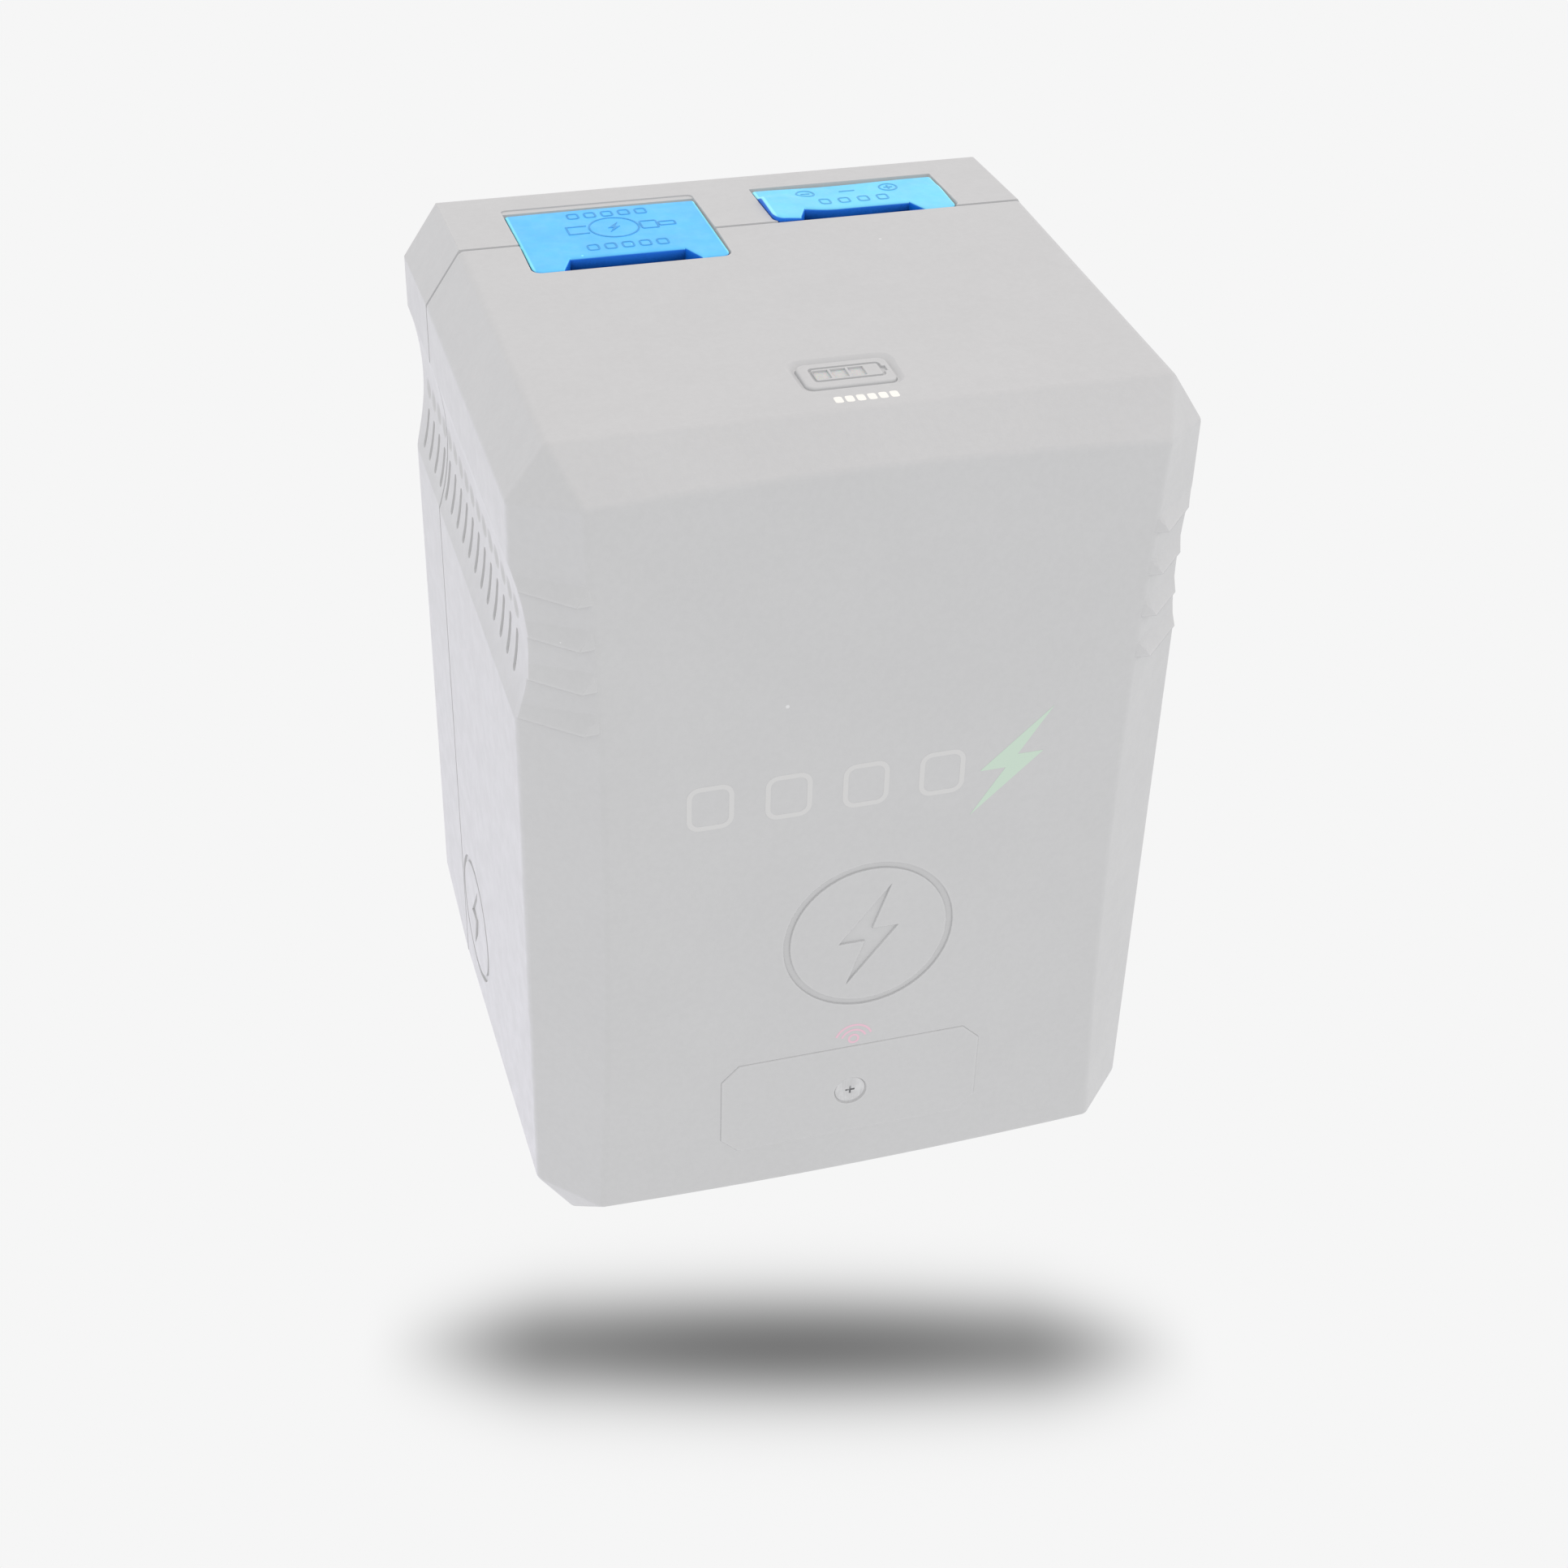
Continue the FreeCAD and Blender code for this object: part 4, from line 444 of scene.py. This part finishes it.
MATERIALS = {
    "housing": housing(),
    "port_flap": silicone("port_flap", FLAP_BLUE, FLAP_RIM_HIGHLIGHT, "usb_port_flap"),
    "black_plastic": moulded("black_plastic", (0.012, 0.012, 0.014)),
    "gasket": soft_rubber("gasket", (0.02, 0.02, 0.02)),
    "steel": metal("steel", (0.76, 0.76, 0.77), 0.36, (1.0, 1.0, 0.12)),
    "black_steel": oxide_steel(),
    "brass": metal("brass", (0.72, 0.50, 0.20), 0.30, (1.0, 0.1, 1.0)),
    "gold": metal("gold", (0.88, 0.62, 0.22), 0.22, (1.0, 1.0, 0.1), tarnish=0.06),
    "clear_window": light_guide(),
    "white_plastic": moulded("white_plastic", (0.72, 0.72, 0.69), roughness=0.35, edge=0.1),
    "board": circuit_board(),
    "chip": moulded("chip", (0.018, 0.018, 0.020), roughness=0.6, grain=0.15 * MM),
    "ferrite": ferrite(),
    "can": aluminium_can(),
    "led": led_lens(),
    "cell_wrap": shrink_sleeve(),
    "holder": moulded("holder", (0.022, 0.022, 0.025), roughness=0.6),
    "nickel": metal("nickel", (0.62, 0.59, 0.54), 0.30, (0.1, 1.0, 1.0)),
    "foam": foam(),
    "fibre": fibre_paper(),
    "lead_red": soft_rubber("lead_red", (0.42, 0.012, 0.01)),
    "lead_black": soft_rubber("lead_black", (0.015, 0.015, 0.015)),
    "tag": moulded("tag", (0.70, 0.70, 0.67), roughness=0.3, edge=0.1),
    "wedge_plastic": glass_nylon(),
}
# The marks are a little darker than their flaps: painted shade.
FLAP_MARKS_PAINTED_SHADE = raised_marks("port_flap_marks", (0.075, 0.410, 0.880))
PALE_FLAP_MARKS_PAINTED_SHADE = raised_marks("port_flap_marks_pale", (0.120, 0.490, 0.880))
PALE_FLAP = silicone("port_flap_pale", FLAP_PALE_BLUE, FLAP_PALE_RIM_HIGHLIGHT, "dtap_port_flap")
GREEN_INK = printed_ink("green_ink", (0.358, 0.440, 0.372))
GREY_INK = printed_ink("grey_ink", (0.405, 0.403, 0.403))
WHITE_INK = printed_ink("white_ink", (0.60, 0.59, 0.56))
PINK_INK = printed_ink("pink_ink", (0.500, 0.325, 0.385))

for part in frame["record"]["subparts"]:
    cad_object = frame["nodes"][part["node"]]
    cad_object.data.materials.clear()
    cad_object.data.materials.append(MATERIALS[part["material_slot"]])


# ---- Mesh helpers ----
class Shape:
    """Points and faces of one piece. Each call adds one closed shell."""

    def __init__(self):
        self.points = []
        self.faces = []

    def loops(self, loops, ring=False):
        """Joins closed loops of equally many points; the ends are capped unless they meet in a ring."""
        count, start = len(loops[0]), len(self.points)
        for loop in loops:
            self.points.extend(loop)
        rows = len(loops) if ring else len(loops) - 1
        for row in range(rows):
            here, there = start + row * count, start + ((row + 1) % len(loops)) * count
            for i in range(count):
                j = (i + 1) % count
                self.faces.append((here + i, here + j, there + j, there + i))
        if not ring:
            self.faces.append(tuple(range(start, start + count)))
            self.faces.append(tuple(range(start + rows * count, start + (rows + 1) * count)))

    def ribbon(self, path, width, height, place, closed=False, sink=0.05 * MM):
        """A raised line along a path of (u, v) points; place(u, v, h) says where it lies."""
        half, shoulder = width / 2, min(0.3 * height, 0.2 * width)
        section = ((-half, -sink), (-half, height - shoulder), (-half + shoulder, height),
                   (half - shoulder, height), (half, height - shoulder), (half, -sink))
        loops = []
        for index, point in enumerate(path):
            across, stretch = mitre(path, index, closed)
            loops.append([place(point[0] + across[0] * s * stretch, point[1] + across[1] * s * stretch, h)
                          for s, h in section])
        self.loops(loops, ring=closed)

    def slab(self, outline, height, place, sink=0.05 * MM):
        """A raised flat area inside an outline of (u, v) points."""
        self.loops([[place(u, v, h) for u, v in outline] for h in (-sink, height)])

    def build(self, name, material, body, slot):
        mesh = bpy.data.meshes.new(name)
        mesh.from_pydata([tuple(p) for p in self.points], [], self.faces)
        tidy = bmesh.new()
        tidy.from_mesh(mesh)
        bmesh.ops.recalc_face_normals(tidy, faces=tidy.faces)
        tidy.to_mesh(mesh)
        tidy.free()
        mesh.materials.append(material)
        mesh.shade_smooth()
        mesh.set_sharp_from_angle(angle=math.radians(40))
        piece = bpy.data.objects.new(name, mesh)
        bpy.context.scene.collection.objects.link(piece)
        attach(piece, body)
        return piece


def unit(a, b):
    length = math.hypot(b[0] - a[0], b[1] - a[1])
    return (b[0] - a[0]) / length, (b[1] - a[1]) / length


def mitre(path, index, closed):
    """Direction across a path at one of its points, and how far a mitred corner reaches."""
    last = len(path) - 1
    before = path[index - 1] if index > 0 or closed else None
    after = path[(index + 1) % len(path)] if index < last or closed else None
    here = path[index]
    if before is None or after is None:
        along = unit(here, after) if before is None else unit(before, here)
        return (-along[1], along[0]), 1.0
    first, second = unit(before, here), unit(here, after)
    along = (first[0] + second[0], first[1] + second[1])
    length = math.hypot(*along)
    along = (along[0] / length, along[1] / length)
    return (-along[1], along[0]), min(2.0, 1.0 / max(0.3, along[0] * first[0] + along[1] * first[1]))


def arc_path(centre, radius, start, end, steps):
    """Points on an arc; the angles are in degrees."""
    angles = [math.radians(start + (end - start) * i / steps) for i in range(steps + 1)]
    return [(centre[0] + radius * math.cos(a), centre[1] + radius * math.sin(a)) for a in angles]


def rounded_rectangle(centre, half_u, half_v, radius, steps=6):
    points = []
    for quarter, (su, sv) in enumerate(((1, 1), (-1, 1), (-1, -1), (1, -1))):
        corner = (centre[0] + su * (half_u - radius), centre[1] + sv * (half_v - radius))
        points += arc_path(corner, radius, 90 * quarter, 90 * quarter + 90, steps)
    return points


def bolt_outline(centre, size, lean=0.0):
    """Lightning bolt, size tall; lean shifts its top sideways."""
    half = [(0.18, 0.5), (-0.26, -0.06), (-0.03, -0.06)]
    shape = half + [(-u, -v) for u, v in half]
    return [(centre[0] + (u + lean * v) * size, centre[1] + v * size) for u, v in shape]


# ---- Rubber flaps ----
TRUNNION_R = 0.6 * MM
KNUCKLE_R = 1.0 * MM
FLAP_EDGE_R = 0.35 * MM
FLAP_CORNER_R = 1.1 * MM
FLAP_CROWN = 0.10 * MM
NOTCH_SLOPE = 1.2 * MM
EDGE_STEPS = tuple(share * FLAP_EDGE_R for share in (0.0, 0.08, 0.25, 0.55, 1.0))
KNUCKLE_STEPS = 10
FACE_ROWS = 18                 # rows of faces from the front edge to the hinge
FACE_COLUMNS = 40              # faces between the two rounded ends
TRAY_TOP = 96.15 * MM


def quarter_round(distance, radius):
    """How far a rounded edge falls back at a distance from the edge's outer side."""
    if distance >= radius:
        return 0.0
    return radius - math.sqrt(max(0.0, radius ** 2 - (radius - distance) ** 2))


def smooth(value):
    value = min(1.0, max(0.0, value))
    return value * value * (3 - 2 * value)


class Flap:
    """A rubber flap that fills the place of a CAD flap: outline, finger notch and surface heights."""

    def __init__(self, cad_node, notch_from, notch_to, notch_depth, lifted=0.0, sag=0.0):
        low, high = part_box(cad_node)
        self.x0, self.x1 = low.x + TRUNNION_L, high.x - TRUNNION_L
        self.y0, self.y1 = low.y, high.y
        self.axis_y, self.axis_z = high.y - KNUCKLE_R, high.z - KNUCKLE_R
        self.notch = (notch_from, notch_to, notch_depth)
        self.lifted, self.sag = lifted, sag

    def front(self, x):
        """Depth of the front edge at x, with rounded corners and the notch."""
        from_end = min(x - self.x0, self.x1 - x)
        left, right, depth = self.notch
        inside = min(x - left, right - x) / NOTCH_SLOPE
        notch = depth * min(1.0, max(0.0, inside))
        return self.y0 + quarter_round(from_end, FLAP_CORNER_R) + notch

    def rise(self, x, y):
        """Crown of the face, and how far its ends have curled up, most of all the left one. It stays
        low at the hinge, so that the flap clears the housing when it opens."""
        u = (x - self.x0) / (self.x1 - self.x0)
        v = (y - self.y0) / (self.axis_y - self.y0)
        inside_u, inside_v = min(1, max(0, u)), min(1, max(0, v))
        crown = FLAP_CROWN * math.sin(math.pi * inside_u) * math.sin(math.pi * inside_v * 0.85)
        at_hinge = 1.0 - 0.92 * smooth((v - 0.60) / 0.26)
        left = smooth(1.0 - u / 0.38) * (0.8 + 0.2 * smooth(v))
        right = 0.25 * smooth((u - 0.7) / 0.3) * smooth(v)
        dip = -self.sag * smooth(1.0 - abs(u - 0.45) / 0.45) * smooth((v - 0.25) / 0.75)
        return crown + self.lifted * at_hinge * (left + right) + dip

    def top(self, x, y):
        """Height of the face, without the rounding of its edges."""
        return self.axis_z + KNUCKLE_R + self.rise(x, y)

    def section(self, x):
        """Closed loop round the flap at x: face, hinge knuckle, underside and front wall."""
        inset = quarter_round(min(x - self.x0, self.x1 - x), FLAP_EDGE_R)
        front, radius = self.front(x) + inset, KNUCKLE_R - inset
        ys = [front + step for step in EDGE_STEPS]
        ys += [ys[-1] + (self.axis_y - ys[-1]) * (i + 1) / FACE_ROWS for i in range(FACE_ROWS)]
        loop = []
        for y in ys:
            fall = quarter_round(y - front, FLAP_EDGE_R)
            loop.append(Vector((x, y, self.axis_z + radius + self.rise(x, y) - fall)))
        lift = self.rise(x, self.axis_y)
        for step in range(1, KNUCKLE_STEPS + 1):
            angle = math.pi / 2 - math.pi * step / KNUCKLE_STEPS
            loop.append(Vector((x, self.axis_y + radius * math.cos(angle),
                                self.axis_z + lift + radius * math.sin(angle))))
        for y in reversed(ys[:-1]):
            fall = 0.5 * quarter_round(y - front, FLAP_EDGE_R)
            loop.append(Vector((x, y, self.axis_z - radius + self.rise(x, y) + fall)))
        return loop

    def stations(self):
        """Places along the flap that catch its ends, corners and notch."""
        left, right, _ = self.notch
        xs = {self.x0 + step for step in EDGE_STEPS} | {self.x1 - step for step in EDGE_STEPS}
        for step in (0.5, 0.65, 0.8, 0.95, FLAP_CORNER_R / MM):
            xs |= {self.x0 + step * MM, self.x1 - step * MM}
        for start, way in ((left, 1), (right, -1)):
            xs |= {start + way * share * NOTCH_SLOPE for share in (-0.15, 0.0, 0.12, 0.5, 0.88, 1.0, 1.15)}
        straight = self.x1 - self.x0 - 2 * FLAP_CORNER_R
        xs |= {self.x0 + FLAP_CORNER_R + straight * i / FACE_COLUMNS for i in range(1, FACE_COLUMNS)}
        return sorted(xs)

    def face(self, u, v, h):
        """Puts a moulded mark at (u, v) on the flap's face."""
        return Vector((u, v, self.top(u, v) + h))

    def body(self, pads):
        """The flap with its hinge stubs and sealing pads."""
        shape = Shape()
        shape.loops([self.section(x) for x in self.stations()])
        for start, end in ((self.x0 - TRUNNION_L, self.x0 + MM), (self.x1 - MM, self.x1 + TRUNNION_L)):
            shape.loops([self.stub_ring(x, TRUNNION_R - trim) for x, trim in
                         ((start, 0.1 * MM), (start + 0.1 * MM, 0), (end - 0.1 * MM, 0), (end, 0.1 * MM))])
        under = self.axis_z - KNUCKLE_R
        levels = ((TRAY_TOP + 0.15 * MM, 0.3 * MM), (TRAY_TOP + 0.45 * MM, 0.02 * MM),
                  (under - 0.25 * MM, 0), (under + 0.3 * MM, -0.2 * MM))
        for centre, half_u, half_v, radius in pads:
            loops = []
            for z, trim in levels:
                outline = rounded_rectangle(centre, half_u - trim, half_v - trim, radius - trim)
                loops.append([Vector((u, v, z)) for u, v in outline])
            shape.loops(loops)
        return shape

    def stub_ring(self, x, radius, steps=16):
        return [Vector((x, self.axis_y + radius * math.cos(a), self.axis_z + radius * math.sin(a)))
                for a in (2 * math.pi * i / steps for i in range(steps))]


MARK_W = 0.20 * MM
MARK_H = 0.06 * MM
TICK_SIZE = (1.15 * MM, 1.35 * MM)


def tick_row(shape, flap, centre, count, gap):
    """Row of small outlined boxes that stands in for a line of moulded writing."""
    width, height = TICK_SIZE
    first = centre[0] - (count - 1) * (width + gap) / 2
    for index in range(count):
        middle = (first + index * (width + gap), centre[1])
        outline = rounded_rectangle(middle, width / 2, height / 2, 0.3 * MM, 3)
        shape.ribbon(outline, MARK_W, MARK_H, flap.face, closed=True)


def usb_flap_marks(flap):
    """Moulded symbols: a bolt in a circle between two plug ends, and a row of ticks front and rear."""
    shape = Shape()
    middle = ((flap.x0 + flap.x1) / 2 + 0.2 * MM, flap.y0 + 9.9 * MM)
    radius = 2.7 * MM
    shape.ribbon(arc_path(middle, radius, 0, 360, 48)[:-1], MARK_W, MARK_H, flap.face, closed=True)
    shape.slab(bolt_outline(middle, 2.6 * MM, lean=0.15), MARK_H, flap.face)
    left, right, y = middle[0] - radius, middle[0] + radius, middle[1]
    plug_in = [(left - 0.2 * MM, y + 1.0 * MM), (left - 2.4 * MM, y + 1.0 * MM),
               (left - 2.4 * MM, y - 1.0 * MM), (left - 0.2 * MM, y - 1.0 * MM)]
    shape.ribbon(plug_in, MARK_W, MARK_H, flap.face)
    for reach, half_v in ((1.2 * MM, 1.0 * MM), (3.2 * MM, 0.5 * MM)):
        outline = rounded_rectangle((right + reach, y), 0.9 * MM, half_v, 0.2 * MM, 3)
        shape.ribbon(outline, MARK_W, MARK_H, flap.face, closed=True)
    tick_row(shape, flap, (middle[0] + 0.4 * MM, flap.y0 + 5.0 * MM), 5, 0.75 * MM)
    tick_row(shape, flap, (middle[0] + 0.1 * MM, flap.y0 + 13.9 * MM), 5, 0.75 * MM)
    return shape


def dtap_flap_marks(flap):
    """Moulded symbols: minus and plus in circles, and a row of ticks in front of them."""
    shape = Shape()
    row, radius, arm = flap.y0 + 7.3 * MM, 1.0 * MM, 0.5 * MM
    minus, plus = (flap.x0 + 5.6 * MM, row), (flap.x1 - 5.9 * MM, row)
    for centre in (minus, plus):
        shape.ribbon(arc_path(centre, radius, 0, 360, 32)[:-1], MARK_W, MARK_H, flap.face, closed=True)
        shape.ribbon([(centre[0] - arm, row), (centre[0] + arm, row)], MARK_W, MARK_H, flap.face)
    shape.ribbon([(plus[0], row - arm), (plus[0], row + arm)], MARK_W, MARK_H, flap.face)
    middle = (minus[0] + plus[0]) / 2
    shape.ribbon([(middle - 0.9 * MM, row), (middle + 0.9 * MM, row)], MARK_W, MARK_H, flap.face)
    tick_row(shape, flap, (middle, flap.y0 + 4.6 * MM), 4, 1.1 * MM)
    return shape


# ---- The two flaps; their places are those of the CAD openings and sockets ----
USB_A_CENTRE = (-14.4 * MM, 14.4 * MM)
USB_C_CENTRE = (-14.4 * MM, 20.8 * MM)
DTAP_CENTRE = (13.9 * MM, 21.4 * MM)

usb_flap = Flap("usb_port_flap", -21.8 * MM, -6.9 * MM, 2.8 * MM)
usb_shape = usb_flap.body([(USB_A_CENTRE, 5.8 * MM, 2.1 * MM, 0.6 * MM),
                           (USB_C_CENTRE, 4.0 * MM, 1.2 * MM, 1.1 * MM)])
usb_piece = usb_shape.build("usb_flap_rubber", MATERIALS["port_flap"], "usb_flap", "port_flap")
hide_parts("usb_port_flap")
usb_flap_marks(usb_flap).build("usb_flap_marks", FLAP_MARKS_PAINTED_SHADE, "usb_flap", "port_flap")

dtap_flap = Flap("dtap_port_flap", 6.2 * MM, 20.8 * MM, 2.6 * MM, lifted=0.90 * MM, sag=0.12 * MM)
dtap_shape = dtap_flap.body([(DTAP_CENTRE, 7.0 * MM, 2.2 * MM, 1.5 * MM)])
dtap_piece = dtap_shape.build("dtap_flap_rubber", PALE_FLAP, "dtap_flap", "port_flap")
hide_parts("dtap_port_flap")
dtap_flap_marks(dtap_flap).build("dtap_flap_marks", PALE_FLAP_MARKS_PAINTED_SHADE, "dtap_flap", "port_flap")


# ---- Prints on the housing ----
INK_T = 0.03 * MM
INK_SINK = 0.02 * MM           # how far a print reaches into the surface below it


def on_front(u, v, h):
    return Vector((u, FRONT_Y - h, v))


def on_top(u, v, h):
    return Vector((u, v, TOP_Z - TOP_SLOPE * (SEAM_Y - v) + h))


def front_row_print():
    """Four outlined charge segments in a row."""
    shape = Shape()
    width, height, gap, line = 5.0 * MM, 5.4 * MM, 3.3 * MM, 0.55 * MM
    first_x, middle_z = -17.1 * MM, 57.6 * MM
    for index in range(4):
        centre = (first_x + index * (width + gap), middle_z)
        outline = rounded_rectangle(centre, (width - line) / 2, (height - line) / 2, 1.1 * MM)
        shape.ribbon(outline, line, INK_T, on_front, closed=True, sink=INK_SINK)
    shape.build("front_print_segments", GREY_INK, "root", "housing")


def front_bolt_print():
    """Solid green lightning bolt at the end of the row."""
    shape = Shape()
    shape.slab(bolt_outline((15.5 * MM, 57.8 * MM), 12.4 * MM, lean=0.32), INK_T, on_front, sink=INK_SINK)
    shape.build("front_print_bolt", GREEN_INK, "root", "housing")


def wireless_print():
    """Pink symbol over the tag cover: a dot under two arcs."""
    shape = Shape()
    centre, line = (-0.4 * MM, 22.9 * MM), 0.24 * MM
    for radius in (1.45 * MM, 2.15 * MM):
        shape.ribbon(arc_path(centre, radius, 20, 160, 20), line, INK_T, on_front, sink=INK_SINK)
    dot = arc_path((centre[0], centre[1] + 0.2 * MM), 0.55 * MM, 0, 360, 20)[:-1]
    shape.ribbon(dot, line, INK_T, on_front, closed=True, sink=INK_SINK)
    shape.build("front_print_wireless", PINK_INK, "root", "housing")


def status_print():
    """Row of white marks in front of the status button."""
    shape = Shape()
    width, depth, gap = 0.85 * MM, 1.20 * MM, 0.28 * MM
    first_x, middle_y = -2.55 * MM, -24.25 * MM
    for index in range(6):
        centre = (first_x + index * (width + gap), middle_y)
        outline = rounded_rectangle(centre, width / 2, depth / 2, 0.25 * MM, 3)
        shape.slab(outline, INK_T, on_top, sink=INK_SINK)
    shape.build("top_print_status", WHITE_INK, "root", "housing")


front_row_print()
front_bolt_print()
wireless_print()
status_print()


# ---- Surroundings ----
def display_to_linear(tree, value):
    return math_node(tree, "POWER", value, DISPLAY_GAMMA)


def floor_material():
    """Plain pale floor that stays even in brightness, with one soft painted shadow under the object."""
    material = bpy.data.materials.new("floor")
    material.use_nodes = True
    tree = material.node_tree
    tree.nodes.clear()
    place = node(tree, "TexCoord").outputs["Object"]
    parts = node(tree, "SeparateXYZ", {0: place})
    along = math_node(tree, "ABSOLUTE", parts.outputs["X"])
    across = math_node(tree, "ABSOLUTE", parts.outputs["Y"])
    end_fade = ramp(tree, along, 0.52 * SHADOW_HALF_LENGTH, 0.98 * SHADOW_HALF_LENGTH, 1.0, 0.0)
    slow_fade = ramp(tree, along, 0.0, 1.1 * SHADOW_HALF_LENGTH, 1.0, SHADOW_END_LEVEL)
    length_fade = math_node(tree, "MULTIPLY", end_fade, slow_fade)
    full_width = SHADOW_HALF_WIDTH * SHADOW_SPREAD
    width = math_node(tree, "MULTIPLY_ADD", length_fade, SHADOW_TAPER * full_width,
                      (1 - SHADOW_TAPER) * full_width)
    spread = math_node(tree, "DIVIDE", across, width)
    power = math_node(tree, "POWER", spread, SHADOW_FALL)
    bell = math_node(tree, "EXPONENT", math_node(tree, "MULTIPLY", power, -0.5))
    shade = math_node(tree, "MULTIPLY", length_fade, bell)
    level = math_node(tree, "MULTIPLY_ADD", shade, -SHADOW_DEPTH, BACKGROUND ** (1 / DISPLAY_GAMMA))
    glow = node(tree, "Emission", {"Color": display_to_linear(tree, level)}).outputs[0]
    clear = node(tree, "BsdfTransparent").outputs[0]
    behind = node(tree, "NewGeometry").outputs["Backfacing"]
    surface = node(tree, "MixShader", {0: behind, 1: glow, 2: clear}).outputs[0]
    output = tree.nodes.new("ShaderNodeOutputMaterial")
    tree.links.new(surface, output.inputs["Surface"])
    return material


def add_floor():
    half = FLOOR_SIZE / 2
    mesh = bpy.data.meshes.new("floor")
    corners = [(-half, -half, 0), (half, -half, 0), (half, half, 0), (-half, half, 0)]
    mesh.from_pydata(corners, [], [(0, 1, 2, 3)])
    mesh.materials.append(floor_material())
    floor = bpy.data.objects.new("floor", mesh)
    floor.location = SHADOW_CENTRE
    floor.rotation_euler = (0, 0, math.radians(SHADOW_TURN))
    floor.visible_diffuse = False
    floor.visible_glossy = False
    floor.visible_transmission = False
    floor.visible_shadow = False
    bpy.context.scene.collection.objects.link(floor)


def add_world():
    """Even white room; the camera itself sees the backdrop's brightness."""
    world = bpy.data.worlds.new("room")
    bpy.context.scene.world = world
    world.use_nodes = True
    tree = world.node_tree
    tree.nodes.clear()
    seen = node(tree, "LightPath").outputs["Is Camera Ray"]
    level = ramp(tree, seen, 0.0, 1.0, ROOM_LIGHT, BACKGROUND)
    glow = node(tree, "Background", {"Color": (1, 1, 1, 1), "Strength": level}).outputs[0]
    output = tree.nodes.new("ShaderNodeOutputWorld")
    tree.links.new(glow, output.inputs["Surface"])


def add_light(name, towards, strength, spread, colour):
    """Broad soft light from far away; towards points from the object to the light."""
    lamp = bpy.data.lights.new(name, "SUN")
    lamp.energy, lamp.color, lamp.angle = strength, colour, math.radians(spread)
    light = bpy.data.objects.new(name, lamp)
    back = Vector(towards).normalized()
    light.location = Vector((0, 0, TOP_Z / 2)) + back * 0.5
    light.rotation_mode = "QUATERNION"
    light.rotation_quaternion = (-back).to_track_quat("-Z", "Y")
    bpy.context.scene.collection.objects.link(light)


def direction(azimuth, elevation):
    """Unit vector towards a viewpoint: azimuth 0 is in front of the object, along -Y."""
    a, e = math.radians(azimuth), math.radians(elevation)
    return Vector((math.sin(a) * math.cos(e), -math.cos(a) * math.cos(e), math.sin(e)))


def add_camera():
    data = bpy.data.cameras.new("camera")
    data.lens, data.sensor_width = CAMERA_LENS, 36.0
    data.clip_start, data.clip_end = 0.01, 20.0
    camera = bpy.data.objects.new("camera", data)
    back = direction(CAMERA_AZIMUTH, CAMERA_ELEVATION)
    camera.location = CAMERA_TARGET + back * CAMERA_DISTANCE
    camera.rotation_mode = "QUATERNION"
    level = (-back).to_track_quat("-Z", "Y")
    camera.rotation_quaternion = level @ Quaternion((0, 0, 1), math.radians(CAMERA_ROLL))
    bpy.context.scene.collection.objects.link(camera)
    bpy.context.scene.camera = camera


add_floor()
add_world()
add_light("left_fill", (-0.56, 0.51, -0.66), 0.74, 50, (0.80, 0.76, 1.0))
add_light("top_soft", (0.25, 0.25, 0.92), 0.40, 50, (1.0, 0.80, 0.70))
add_light("right_fill", (0.90, -0.10, 0.30), 0.32, 50, (1.0, 1.0, 1.0))
add_camera()

settings = bpy.context.scene.view_settings
settings.view_transform = "Standard"
settings.look = "None"
